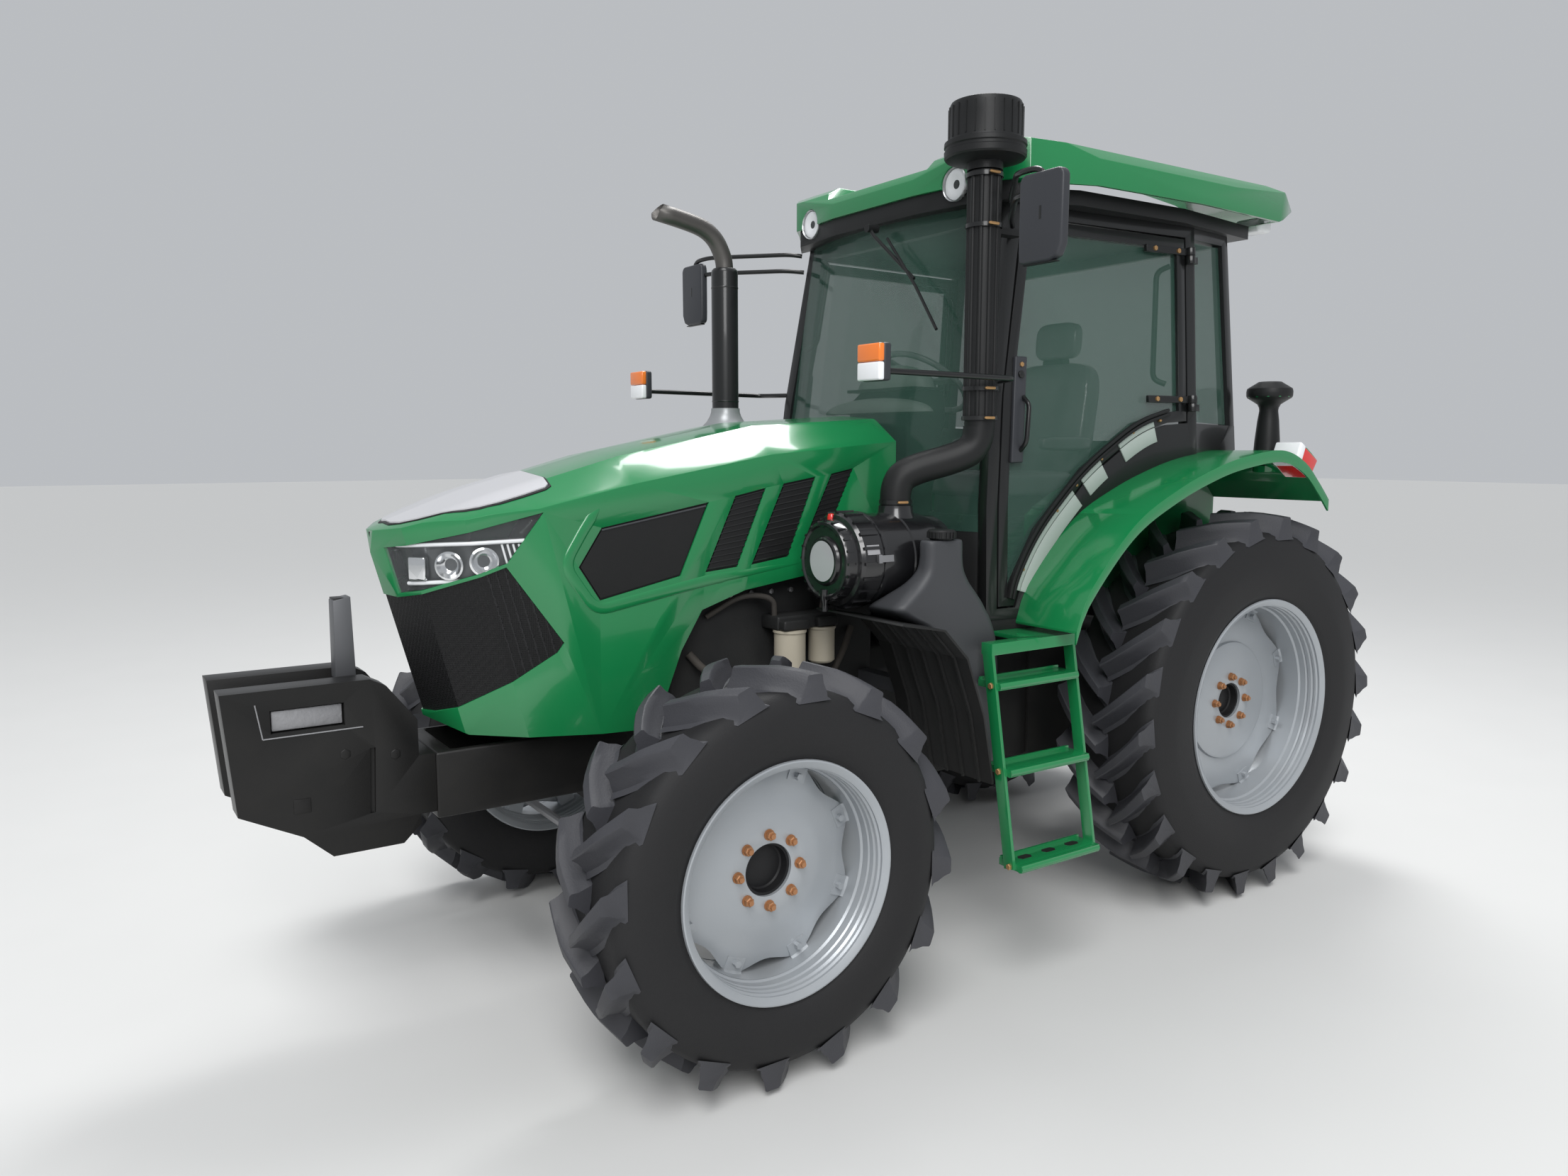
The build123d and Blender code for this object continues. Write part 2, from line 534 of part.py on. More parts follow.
def make_stack():
    """Exhaust pipe with its sleeve and foot collar; its open end is cut at a slant."""
    bend = [(STACK_X + 8, SLEEVE_TOP_Z + 46), (STACK_X + 34, SLEEVE_TOP_Z + 98), (STACK_X + 86, SLEEVE_TOP_Z + 136)]
    tip = (STACK_X + 290, SLEEVE_TOP_Z + 176)
    points = [(STACK_X, SLEEVE_TOP_Z - 20)] + bend + [(STACK_X + 168, SLEEVE_TOP_Z + 156), tip]
    path = [(x, STACK_Y, z) for x, z in points]
    pipe = tube_run(path, STACK_PIPE_RADIUS, 16) - tube_run(path[3:], STACK_PIPE_RADIUS - 4, 16)
    pipe -= side_plate([(tip[0] + 5, tip[1] + 24), (tip[0] - 130, SLEEVE_TOP_Z + 92), (tip[0] - 130, SLEEVE_TOP_Z),
                        (tip[0] + 60, SLEEVE_TOP_Z), (tip[0] + 60, tip[1] + 60)], STACK_Y - 60, STACK_Y + 60)
    sleeve = rod((STACK_X, STACK_Y, HINGE_Z - 20), (STACK_X, STACK_Y, SLEEVE_TOP_Z), STACK_RADIUS, 20)
    collar = loft([Pos(STACK_X, STACK_Y, 1900) * RegularPolygon(98, 20),
                   Pos(STACK_X, STACK_Y, 1970) * RegularPolygon(STACK_RADIUS + 3, 20)], ruled=True)
    collar = Pos(0, 0, SEAT_GAP) * (collar - hood_form(0, 900))
    return sleeve + pipe + collar


def make_hood_support():
    """Hinge frame on the engine that carries the hood."""
    foot = ENGINE_TOP_Z + SEAT_GAP
    post = side_plate([(HINGE_X - 26, foot), (HINGE_X + 60, foot), (HINGE_X + 22, HINGE_Z + 20),
                       (HINGE_X - 22, HINGE_Z + 20)], HINGE_Y - 14, HINGE_Y)
    pin = rod((HINGE_X, HINGE_Y - 5, HINGE_Z), (HINGE_X, HINGE_Y + MOVE_GAP + 18, HINGE_Z), HINGE_PIN_RADIUS)
    cross = block((HINGE_X - 10, HINGE_X + 10), (-HINGE_Y + 10, HINGE_Y - 10), (1700, 1740))
    return pair(post + pin) + cross


# ---------------------------------------------------------------- cab
def on_door_side(shape):
    """Place a piece drawn at the B pillar: x forward from it, y outward, z up from the sill."""
    return Pos(B_PILLAR_X, CAB_HALF_WIDTH, SILL_Z) * Rot(Z=-DOOR_TAPER) * Rot(X=CAB_LEAN) * shape


def on_rear_side(shape):
    """The same behind the B pillar, where the cab narrows to the rear."""
    return Pos(B_PILLAR_X, CAB_HALF_WIDTH, SILL_Z) * Rot(Z=REAR_TAPER) * Rot(X=CAB_LEAN) * shape


DOOR_SIDE = [(12, 715), (118, 708), (280, 668), (560, 500), (790, 290), (900, 120), (930, 45),
             (1002, 45), (989, 400), (955, 800), (845, 1425), (12, 1425)]
A_PILLAR = [(1012, -20), (1060, -20), (1046, 400), (1010, 800), (903, SIDE_TOP), (848, SIDE_TOP),
            (962, 800), (997, 400)]
QUARTER_SIDE = [(-328, 705), (-60, 715), (-78, 1425), (-294, 1425)]


def make_door():
    frame = inset_plate(DOOR_SIDE, 0.01, -DOOR_WALL, 0) - inset_plate(DOOR_SIDE, DOOR_FRAME, -60, 5)
    for height in HINGE_HEIGHTS:
        frame += block((0, 235), (3, 12), (height, height + 26))
        frame += block((30, 235), (-2, 4), (height, height + 26))
        frame += rod((0, DOOR_PIN_Y, height - 2), (0, DOOR_PIN_Y, height + 28), DOOR_PIN_RADIUS + 9, 12)
        frame -= rod((0, DOOR_PIN_Y, height - 6), (0, DOOR_PIN_Y, height + 32), DOOR_PIN_RADIUS + PIN_GAP)
    frame += side_plate([(885, 560), (935, 560), (905, 930), (855, 930)], -2, 14)
    return on_door_side(frame)


def make_door_glass():
    y = -GLASS_DEPTH
    return on_door_side(inset_plate(DOOR_SIDE, DOOR_FRAME + SEAT_GAP, y - GLASS_WALL, y))


def make_quarter_glass():
    y = -GLASS_DEPTH
    return on_rear_side(inset_plate(QUARTER_SIDE, SEAT_GAP, y - GLASS_WALL, y))


FENDER_RISE = [(-140, -12), (-205, 122), (-420, 337), (-650, 457), (-890, 540), (-1080, 580), (-1290, 598),
               (-1440, 552), (-1545, 472), (-1625, 398)]
FENDER_LINE = [(x, SILL_Z + rise) for x, rise in FENDER_RISE]
FENDER_REAR_X = FENDER_LINE[-1][0]
ARCH_CORNER_Z = SILL_Z + 348


def arch_above(gap):
    """Everything below the fender's top line, raised by a gap, behind the cab's wide floor."""
    line = [(x, z + gap) for x, z in FENDER_LINE[2:]]
    front = [(ARCH_FRONT_X, SILL_Z - 140), (ARCH_FRONT_X, ARCH_CORNER_Z + gap)]
    return side_plate(front + line[1:] + [(FENDER_REAR_X, SILL_Z - 140)], FENDER_INNER_Y - gap,
                      FENDER_OUTER_Y + 100)


def make_cab_frame():
    """Pillars, rails and lower sides that carry the roof, doors and windows."""
    depth = (-PILLAR, 0)
    b_pillar = side_plate([(-46, 480), (5, 480), (5, SIDE_TOP), (-46, SIDE_TOP)], *depth)
    rail = side_plate([(-46, 1432), (905, 1432), (905, SIDE_TOP), (-46, SIDE_TOP)], *depth)
    panel = side_plate([(-46, 480), (600, 300), (622, -20), (1040, -20), (1040, 38), (923, 38),
                        (893, 116), (784, 284), (556, 493), (277, 660), (118, 700), (5, 707),
                        (-46, 707)], *depth)
    left = on_door_side(side_plate(A_PILLAR, *depth) + b_pillar + rail + panel)
    for height in HINGE_HEIGHTS:
        left += on_door_side(block((-40, 0), (-2, DOOR_PIN_Y), (height - 32, height - 6)))
        left += on_door_side(rod((0, DOOR_PIN_Y, height - 34), (0, DOOR_PIN_Y, height - 4), DOOR_PIN_RADIUS + 9, 12))
        left += on_door_side(rod((0, DOOR_PIN_Y, height - 10), (0, DOOR_PIN_Y, height + 22), DOOR_PIN_RADIUS))
    c_pillar = side_plate([(-385, 480), (-340, 480), (-298, SIDE_TOP), (-345, SIDE_TOP)], *depth)
    rear_rail = side_plate([(-345, 1432), (-30, 1432), (-30, SIDE_TOP), (-345, SIDE_TOP)], *depth)
    rear_panel = side_plate([(-385, 480), (-30, 480), (-30, 708), (-378, 700)], *depth)
    left += on_rear_side(c_pillar + rear_rail + rear_panel)
    left &= block((-1700, 200), (0, 1000), (SILL_Z, ROOF_LOW_Z))
    left -= arch_above(SEAT_GAP)
    header = block((-235, -195), (-605, 605), (LINING_LOW_Z - 42, LINING_LOW_Z - SEAT_GAP))
    tail = block((-1410, -1355), (-600, 600), (LINING_LOW_Z - 42, LINING_LOW_Z - SEAT_GAP))
    return pair(left) + header + tail


def screen_plan(wall, front):
    """Bowed strip, in flat steps, that the windscreen and the wall below it follow."""
    half = 760
    middle_x = SCREEN_SIDE_X + SCREEN_BULGE + front
    steps = [half * (2 * k / SCREEN_STEPS - 1) for k in range(SCREEN_STEPS + 1)]
    line = [(middle_x - SCREEN_BULGE * (y / 665) ** 2, y) for y in steps]
    return Polygon(*line, *[(x - wall, y) for x, y in reversed(line)], align=None)


def between_pillars():
    """The room between the inner faces of the side frames, with a seating gap."""
    near = on_door_side(block((-900, 1500), (-PILLAR - SEAT_GAP - 700, -PILLAR - SEAT_GAP), (-300, 1700)))
    return near + other_side(near) + block((-400, 300), (-300, 300), (SILL_Z - 140, SILL_Z + 1560))


def make_windscreen():
    foot = Pos(0, 0, SCREEN_LOW_Z + SEAT_GAP) * screen_plan(GLASS_WALL, 0)
    height = LINING_LOW_Z - 2 * SEAT_GAP - SCREEN_LOW_Z
    screen = leaning(foot, height, -SCREEN_RAKE)
    return screen & between_pillars() & block((-400, 300), (-760, 760), (SILL_Z, LINING_LOW_Z - SEAT_GAP))


def make_rear_window():
    lean = 40
    low, high = REAR_SILL_Z + SEAT_GAP, LINING_LOW_Z - 42.5
    pane = Plane(origin=(REAR_WALL_X, 0, low), x_dir=(0, -1, 0), z_dir=(low - high, 0, lean))
    outline = Polygon((-636, 0), (636, 0), (580, high - low), (-580, high - low), align=None)
    return extrude(pane * outline, amount=GLASS_WALL)


def make_cab_floor():
    """Floor with its mounts, the wall below the windscreen and the wall behind the seat."""
    top, low = SILL_Z - SEAT_GAP, SILL_Z - FLOOR_WALL
    wide = top_plate([(ARCH_FRONT_X + SEAT_GAP, -728), (-14, -702), (-14, 702), (ARCH_FRONT_X + SEAT_GAP, 728)],
                     low, top)
    half = FENDER_INNER_Y - SEAT_GAP
    narrow = block((REAR_WALL_X, ARCH_FRONT_X + 1), (-half, half), (low, top))
    wall = extrude(Pos(0, 0, low) * screen_plan(12, -2), amount=SCREEN_LOW_Z - low, dir=(0, 0, 1))
    wall &= between_pillars()
    deck = block((-60, 60), (-600, 600), (low, top)) & extrude(
        Pos(0, 0, low) * Polygon((-60, -540), (-60, 540), (0, 540), (60, 400), (80, 0), (60, -400),
                                 (0, -540), align=None), amount=FLOOR_WALL, dir=(0, 0, 1))
    rear = block((REAR_WALL_X - 12, REAR_WALL_X + 1), (-half, half), (low, REAR_SILL_Z))
    mounts = []
    for x, y, foot in ((-1380, 150, HOUSING_TOP_Z), (-160, 140, GEARBOX_TOP_Z)):
        for side in (-1, 1):
            mounts.append(rod((x, side * y, foot + SEAT_GAP), (x, side * y, low + 1), 48, 16))
    return wide.fuse(narrow, wall, deck, rear, *mounts)


def roof_plan(inset):
    """Roof's outline from above."""
    front, rear = ROOF_FRONT_X - inset, ROOF_REAR_X + inset
    half = [(rear, -690 + inset), (rear + 170, -765 + inset), (-1000, -805 + inset), (-420, -790 + inset),
            (-170, -700 + inset), (-62 - inset, -570 + inset), (front - 20, -400), (front, -250)]
    return half + [(x, -y) for x, y in reversed(half)]


ROOF_SECTION = [(-810, 0), (-806, 30), (-790, 92), (-745, 138), (-640, 158), (-500, 168), (-352, 165), (-308, 100)]


def roof_form(inset):
    """Solid form of the roof with its skin drawn in by the inset: two raised wings beside a flat middle."""
    front, rear = ROOF_FRONT_X - inset, ROOF_REAR_X + inset
    base = ROOF_LOW_Z
    body = top_plate(roof_plan(inset), base - 80, base + 300)
    half = [(-900, base - 80), (-810 + inset, base - 80)]
    half += [(y + inset, base + rise - (inset if rise > 60 else 0)) for y, rise in ROOF_SECTION]
    section = half[1:] + [(-y, z) for y, z in reversed(half[1:])]
    body &= front_plate(section, rear - 100, front + 100)
    top = [(rear, 80), (rear + 130, 118), (-1440, 142), (-1200, 160), (-900, 169), (-300, 169), (-130, 165),
           (-56, 128), (front, 70)]
    side = [(x, base + rise - inset) for x, rise in top]
    side += [(front, FASCIA_LOW_Z), (-150, FASCIA_LOW_Z), (-190, base), (rear + 200, base), (rear, base + 72 - inset)]
    return body & side_plate(side, -900, 900)


def lamp_pocket(gap):
    """Room of the left front lamp in the roof and the visor."""
    face_x = ROOF_FRONT_X - LAMP_DEPTH
    return rod((-150, LAMP_Y, LAMP_Z), (face_x + 100 * gap, LAMP_Y, LAMP_Z), LAMP_RADIUS + gap, 24)


def make_roof():
    inner = roof_form(ROOF_WALL) & block((-2000, -190), (-900, 900), (ROOF_LOW_Z - 60, ROOF_LOW_Z + 300))
    shell = roof_form(0) - inner
    shell -= block((ROOF_REAR_X + 220, -192), (-690, 690), (ROOF_LOW_Z - 1, ROOF_LOW_Z + 30))
    return shell - pair(lamp_pocket(1))


def make_lining():
    """Black band under the roof, with the visor over the windscreen and the front lamps."""
    plan = [(ROOF_REAR_X + 220, -640), (-1000, -715), (-420, -705), (-170, -612), (-170, 612),
            (-420, 705), (-1000, 715), (ROOF_REAR_X + 220, 640)]
    band_low, band_top = LINING_LOW_Z, ROOF_LOW_Z - SEAT_GAP
    visor = top_plate(roof_plan(12), band_low, band_top) & block((-171, 0), (-900, 900), (band_low, band_top))
    crest = top_plate(roof_plan(12), band_top - 1, FASCIA_LOW_Z - SEAT_GAP)
    crest &= block((-148, 0), (-900, 900), (band_low, ROOF_LOW_Z + 50))
    lining = top_plate(plan, band_low, band_top) + visor + crest
    return lining - pair(lamp_pocket(1)) + pair(lamp_pocket(0))


# ---------------------------------------------------------------- fenders
def make_fender():
    """Arch over the left rear wheel, with its wall towards the cab."""
    arch = side_plate(band(FENDER_LINE, FENDER_WALL), FENDER_INNER_Y, FENDER_OUTER_Y)
    arch -= block((ARCH_FRONT_X, 0), (FENDER_INNER_Y - 1, 640), (1100, 1700))
    arch -= on_door_side(block((600, 1200), (-500, SEAT_GAP), (-80, 400)))
    skirt = side_plate(band(FENDER_LINE, FENDER_SKIRT), FENDER_OUTER_Y - FENDER_WALL, FENDER_OUTER_Y)
    under = [(x, z - FENDER_WALL) for x, z in FENDER_LINE[3:]]
    low = SILL_Z - FLOOR_WALL
    wall = side_plate([(ARCH_FRONT_X, low), (ARCH_FRONT_X, ARCH_CORNER_Z - 3)] + under + [(FENDER_REAR_X, low)],
                      FENDER_INNER_Y, FENDER_INNER_Y + FENDER_WALL)
    bulkhead = block((ARCH_FRONT_X - FENDER_WALL, ARCH_FRONT_X), (FENDER_INNER_Y, 680), (low, ARCH_CORNER_Z - 3))
    lamp_y = FENDER_OUTER_Y - 210
    lamp = [(SILL_Z + 505, 52), (SILL_Z + 640, 47), (SILL_Z + 760, 34), (SILL_Z + 785, 40), (SILL_Z + 815, 88),
            (SILL_Z + 845, 88), (SILL_Z + 876, 44)]
    for (low_z, low_radius), (top_z, top_radius) in zip(lamp, lamp[1:]):
        arch += loft([Pos(BEACON_X, lamp_y, low_z) * RegularPolygon(low_radius, 12),
                      Pos(BEACON_X, lamp_y, top_z) * RegularPolygon(top_radius, 12)], ruled=True)
    tail_lamp = side_plate([(-1500, SILL_Z + 490), (-1400, SILL_Z + 556), (-1430, SILL_Z + 625),
                            (-1545, SILL_Z + 560)], FENDER_OUTER_Y - 120, FENDER_OUTER_Y - 15)
    return arch + skirt + wall + bulkhead + tail_lamp


# ---------------------------------------------------------------- left side fittings
MUDGUARD_LINE = [(FRONT_AXLE_X - back, z) for back, z in ((485, 1308), (660, 1275), (760, 1175), (838, 975),
                                                          (888, 735))]


def make_mudguard():
    """Splash guard behind the left front wheel."""
    outline = MUDGUARD_LINE + [(x + 7, z - 5) for x, z in reversed(MUDGUARD_LINE)]
    guard = side_plate(outline, 482, 940)
    ribs = [guard]
    for y in (560, 640, 720, 800, 880):
        ribs.append(side_plate(MUDGUARD_LINE[1:] + [(x + 14, z - 8) for x, z in reversed(MUDGUARD_LINE[1:])],
                               y - 5, y + 5))
    return ribs[0].fuse(*ribs[1:])


def behind_guard(gap):
    """The splash guard's line, moved back from it by a gap."""
    return [(x - gap, z + gap) for x, z in MUDGUARD_LINE]


TANK_SIDE = [(16, 738), (16, 1043), (31, 1200), (58, 1265), (121, 1351), (188, 1435), (197, 1545), (356, 1545),
             (354, 1445), (430, 1382), (537, 1322)]
TANK_FRONT = [(480, 738), (815, 738), (815, 1200), (808, 1545), (738, 1545), (726, 1440), (640, 1350), (480, 1290)]
TANK_GROOVES = (1035, 905, 780)


def make_fuel_tank():
    """Moulded tank between the guard and the ladder; it narrows to its filler like a bottle."""
    body = side_plate(TANK_SIDE + behind_guard(SEAT_GAP)[1:], 480, 815) & front_plate(TANK_FRONT, 0, 700)
    body -= rod((0, AIR_CLEANER_Y, AIR_CLEANER_Z), (600, AIR_CLEANER_Y, AIR_CLEANER_Z),
                AIR_CLEANER_RADIUS + 2 * MOVE_GAP, 16)
    for z in TANK_GROOVES:
        body -= block((10, 125), (803, 816), (z - 8, z + 8))
    cap = rod((277, 774, 1540), (277, 774, 1580), 48, 16)
    strap = block((145, 205), (ENGINE_HALF_WIDTH + SEAT_GAP, 481), (960, 1010))
    return body + cap + strap


def make_battery_box():
    """Box on the right, in the tank's place."""
    line = behind_guard(SEAT_GAP)
    body = side_plate([(48, 738), (62, 1180), (290, 1180)] + line[2:], 480, 815)
    strap = block((145, 205), (ENGINE_HALF_WIDTH + SEAT_GAP, 481), (960, 1010))
    return other_side(body + strap)


LADDER_X = (-235, 145)
TREADS = ((1050, 450), (990, 762), (930, 1045))   # outer edge and height of each step
TREAD_DEPTH = 105


def make_ladder():
    """Three steps to the left door, leaning out towards the ground."""
    steps = [block(LADDER_X, (y - TREAD_DEPTH, y), (z, z + 24)) for y, z in TREADS]
    rails = [bar((x, 1002, 452), (x, 872, 1195), 12, 44) for x in (LADDER_X[0] - 6, LADDER_X[1] + 6)]
    top_z = SILL_Z - FLOOR_WALL - SEAT_GAP
    deck = block((LADDER_X[0] - 12, LADDER_X[1] + 12), (850, 900), (1160, top_z))
    foot = block((LADDER_X[0] - 12, -30), (600, 880), (top_z - 14, top_z))
    return deck.fuse(foot, *steps, *rails)


def make_air_cleaner():
    y, z, radius = AIR_CLEANER_Y, AIR_CLEANER_Z, AIR_CLEANER_RADIUS
    body = rod((130, y, z), (560, y, z), radius, 24)
    cap = rod((555, y, z), (612, y, z), radius - 22, 24)
    outlet = rod((300, y, z + 60), (300, y, z + radius + 22), INTAKE_RADIUS + 6, 16)
    valve = rod((600, y, z - 100), (600, y, z - 170), 11, 8)
    strap = block((260, 330), (ENGINE_HALF_WIDTH + SEAT_GAP, y), (z - 135, z - 123))
    return body + cap + outlet + valve + strap


def make_intake_pipe():
    """Bent pipe from the air cleaner up past the cab, held to the A pillar."""
    x, y, radius = INTAKE_X, INTAKE_Y, INTAKE_RADIUS
    foot = AIR_CLEANER_Z + AIR_CLEANER_RADIUS + 22 + SEAT_GAP
    pipe = tube_run([(300, AIR_CLEANER_Y, foot), (300, AIR_CLEANER_Y, foot + 60),
                     (275, AIR_CLEANER_Y + 12, foot + 105), (90, y - 24, foot + 165), (54, y - 5, foot + 205),
                     (x, y, foot + 260), (x, y, INTAKE_TOP_Z)], radius, 16)
    clamps = [rod((x, y, z), (x, y, z + 26), radius + 6, 16) for z in (SILL_Z + 660, SILL_Z + 800, SILL_Z + 1340)]
    low_z, high_z = SILL_Z + 802, SILL_Z + 1342
    arm = block((-90, x), (y - 60, y - 25), (low_z, low_z + 22))
    arm += block((-190, x), (y - 90, y - 25), (high_z, high_z + 22))
    grown = on_door_side(inset_plate(A_PILLAR, -SEAT_GAP, -PILLAR - SEAT_GAP, SEAT_GAP))
    arm -= on_door_side(block((-100, 1008), (-400, 400), (0, 1700)))
    return pipe.fuse(*clamps, arm) - grown


def make_precleaner():
    x, y, z = INTAKE_X, INTAKE_Y, INTAKE_TOP_Z
    collar = rod((x, y, z + SEAT_GAP), (x, y, z + 30), INTAKE_RADIUS + 6, 16)
    collar += rod((x, y, z + 28), (x, y, z + 92), 138, 24)
    bowl = rod((x, y, z + 90), (x, y, z + 220), 124, 24)
    knob = rod((x, y, z + 215), (x, y, z + 242), 14, 8)
    return collar + bowl + knob


def make_mirror():
    """Left mirror on two tubes from the A pillar."""
    head = block((140, 178), (990, 1170), (2412, 2682))
    upper = tube_run([(-190, 600, 2690), (-100, 680, 2700), (158, 960, 2700), (158, 1080, 2690),
                      (158, 1080, 2600)], 10, 8)
    lower = tube_run([(-175, 600, 2620), (-90, 690, 2630), (150, 950, 2630), (158, 1060, 2630)], 10, 8)
    grown = on_door_side(inset_plate(A_PILLAR, -SEAT_GAP, -PILLAR - 200, SEAT_GAP))
    return head + ((upper + lower) - grown)


def make_marker():
    """Left position lamp on its arm from the A pillar's foot."""
    lamp = block((560, 612), (735, 855), (2052, 2172))
    arm = tube_run([(-80, 640, 2080), (-40, 700, 2080), (-20, 800, 2080), (570, 800, 2085)], 10, 8)
    grown = on_door_side(inset_plate(A_PILLAR, -SEAT_GAP, -PILLAR - 200, SEAT_GAP))
    return lamp + (arm - grown)


def make_seat():
    base = block((-900, -640), (-170, 170), (SILL_Z, 1640))
    cushion = side_plate([(-1010, 1640), (-520, 1640), (-500, 1700), (-520, 1755), (-980, 1735)], -250, 250)
    back = side_plate([(-1010, 1640), (-960, 1735), (-1010, 2010), (-1060, 2220), (-1130, 2220), (-1100, 1900),
                       (-1060, 1640)], -240, 240)
    head = side_plate([(-1062, 2235), (-1070, 2400), (-1130, 2400), (-1128, 2235)], -120, 120)
    post = block((-1110, -1085), (-60, 60), (2200, 2260))
    return base + cushion + back + head + post


def make_steering_column():
    """Instrument console with the steering wheel."""
    console = side_plate([(-60, SILL_Z), (-60, 2040), (-130, 2100), (-250, 2085), (-265, 1960), (-190, 1600),
                          (-190, SILL_Z)], -190, 190)
    column = rod((-220, 0, 1990), (-312, 0, 2115), 26, 12)
    place = Pos(-312, 0, 2115) * Rot(Y=-36) * Rot(X=90)
    ring = ring_of_sides([(-13, 190), (0, 202), (13, 190)], 24) - ring_of_sides([(-14, 172), (14, 172)], 24)
    spokes = block((-178, 178), (-8, 8), (-16, 16)) + block((-16, 16), (-8, 8), (-178, 0))
    pad = rod((0, -20, 0), (0, 20, 0), 52, 16)
    return console + column + place * (ring + spokes + pad)


# ---------------------------------------------------------------- hitch
def link_point(share):
    """A point along the left lower link's middle line."""
    return (LINK_PIN_X + (LINK_END_X - LINK_PIN_X) * share,
            LINK_FRONT_Y + (LINK_END_Y - LINK_FRONT_Y) * share,
            LINK_PIN_Z + (LINK_END_Z - LINK_PIN_Z) * share)


def make_lower_links():
    left = bar(link_point(0.02), link_point(0.97), LINK_HEIGHT, LINK_WIDTH)
    eye_y = (LINK_FRONT_Y - LINK_WIDTH / 2, LINK_FRONT_Y + LINK_WIDTH / 2)
    left += rod((LINK_PIN_X, eye_y[0], LINK_PIN_Z), (LINK_PIN_X, eye_y[1], LINK_PIN_Z), 40, 12)
    left += rod((LINK_END_X, LINK_END_Y - 25, LINK_END_Z), (LINK_END_X, LINK_END_Y + 25, LINK_END_Z), 40, 12)
    left -= rod((LINK_PIN_X, eye_y[0] - 5, LINK_PIN_Z), (LINK_PIN_X, eye_y[1] + 5, LINK_PIN_Z),
                LINK_PIN_RADIUS + PIN_GAP)
    left -= rod((LINK_END_X, LINK_END_Y - 30, LINK_END_Z), (LINK_END_X, LINK_END_Y + 30, LINK_END_Z),
                LINK_BALL_RADIUS)
    x, y, z = link_point(0.72)
    return pair(left) + rod((x, -y, z), (x, y, z), 13, 10)


def arm_end():
    """Pin centre at the left lift arm's free end."""
    return (LINK_PIN_X - ARM_LENGTH, link_point(ROD_SHARE)[1], ROCKSHAFT_Z - 20)


def make_lift_arms():
    x, y, z = arm_end()
    inner = HOUSING_HALF_WIDTH + MOVE_GAP
    hub = rod((LINK_PIN_X, inner, ROCKSHAFT_Z), (LINK_PIN_X, inner + 60, ROCKSHAFT_Z), ROCKSHAFT_RADIUS + 22, 16)
    arm = bar((LINK_PIN_X, inner + 30, ROCKSHAFT_Z), (x + 10, y, z), 56, ARM_WIDTH)
    eye = rod((x, y - ARM_WIDTH / 2, z), (x, y + ARM_WIDTH / 2, z), 30, 12)
    left = hub + arm + eye
    left -= rod((LINK_PIN_X, inner - 5, ROCKSHAFT_Z), (LINK_PIN_X, inner + 90, ROCKSHAFT_Z),
                ROCKSHAFT_RADIUS + PIN_GAP)
    left -= rod((x, y - 60, z), (x, y + 60, z), ARM_PIN_RADIUS + PIN_GAP)
    return left


def make_lift_rod():
    """Left lift rod, with its upper pin; its lower fork straddles the lower link."""
    x, y, z = arm_end()
    low_x, low_y, low_z = link_point(ROD_SHARE)
    fork = ARM_WIDTH / 2 + 2 * MOVE_GAP
    top = block((x - 20, x + 20), (y - fork - 10, y - fork), (z - 78, z + 20))
    top += block((x - 20, x + 20), (y + fork, y + fork + 10), (z - 78, z + 20))
    top += block((x - 20, x + 20), (y - fork - 10, y + fork + 10), (z - 100, z - 72))
    top += rod((x, y - fork - 10, z), (x, y + fork + 10, z), ARM_PIN_RADIUS)
    gap = LINK_WIDTH / 2 + MOVE_GAP + 2
    foot = block((low_x - 26, low_x + 26), (y - gap - 8, y - gap), (low_z - 30, low_z + 90))
    foot += block((low_x - 26, low_x + 26), (y + gap, y + gap + 8), (low_z - 30, low_z + 90))
    foot += block((low_x - 26, low_x + 26), (y - gap - 8, y + gap + 8), (low_z + 70, low_z + 96))
    shank = rod((x, y, z - 90), (low_x, y, low_z + 80), 18, 12)
    return top + foot + shank


# ---------------------------------------------------------------- write the pieces
def both_sides(name, piece):
    """The left piece and its mirror image, as two named pieces."""
    return {f"{name}_left": piece, f"{name}_right": other_side(piece)}


parts = {}
parts |= both_sides("tyre_front", place_wheel(make_tyre(FRONT), FRONT_AXLE_X, FRONT))
parts |= both_sides("tyre_rear", place_wheel(make_tyre(REAR), REAR_AXLE_X, REAR))
parts |= both_sides("rim_front", place_wheel(make_rim(FRONT), FRONT_AXLE_X, FRONT))
parts |= both_sides("rim_rear", place_wheel(make_rim(REAR), REAR_AXLE_X, REAR))
parts["front_axle"] = make_front_axle()
parts |= both_sides("knuckle", make_knuckle())
parts["tie_rod"] = make_tie_rod()
parts["engine"] = make_engine()
parts["gearbox"] = make_gearbox()
parts["rear_housing"] = make_rear_housing()
parts["front_frame"] = make_front_frame()
parts["front_ballast"] = make_ballast()
parts["hood"] = make_hood()
parts["grille"] = make_grille()
parts |= both_sides("headlamp", make_headlamp())
parts |= both_sides("vents", make_vents())
parts["exhaust_stack"] = make_stack()
parts["hood_support"] = make_hood_support()
parts["cab_frame"] = make_cab_frame()
parts["cab_floor"] = make_cab_floor()
parts["roof"] = make_roof()
parts["roof_lining"] = make_lining()
parts["windscreen"] = make_windscreen()
parts["rear_window"] = make_rear_window()
parts |= both_sides("quarter_glass", make_quarter_glass())
parts |= both_sides("door", make_door())
parts |= both_sides("door_glass", make_door_glass())
parts |= both_sides("fender", make_fender())
parts |= both_sides("mudguard", make_mudguard())
parts |= both_sides("ladder", make_ladder())
parts["fuel_tank"] = make_fuel_tank()
parts["battery_box"] = make_battery_box()
parts["air_cleaner"] = make_air_cleaner()
parts["intake_pipe"] = make_intake_pipe()
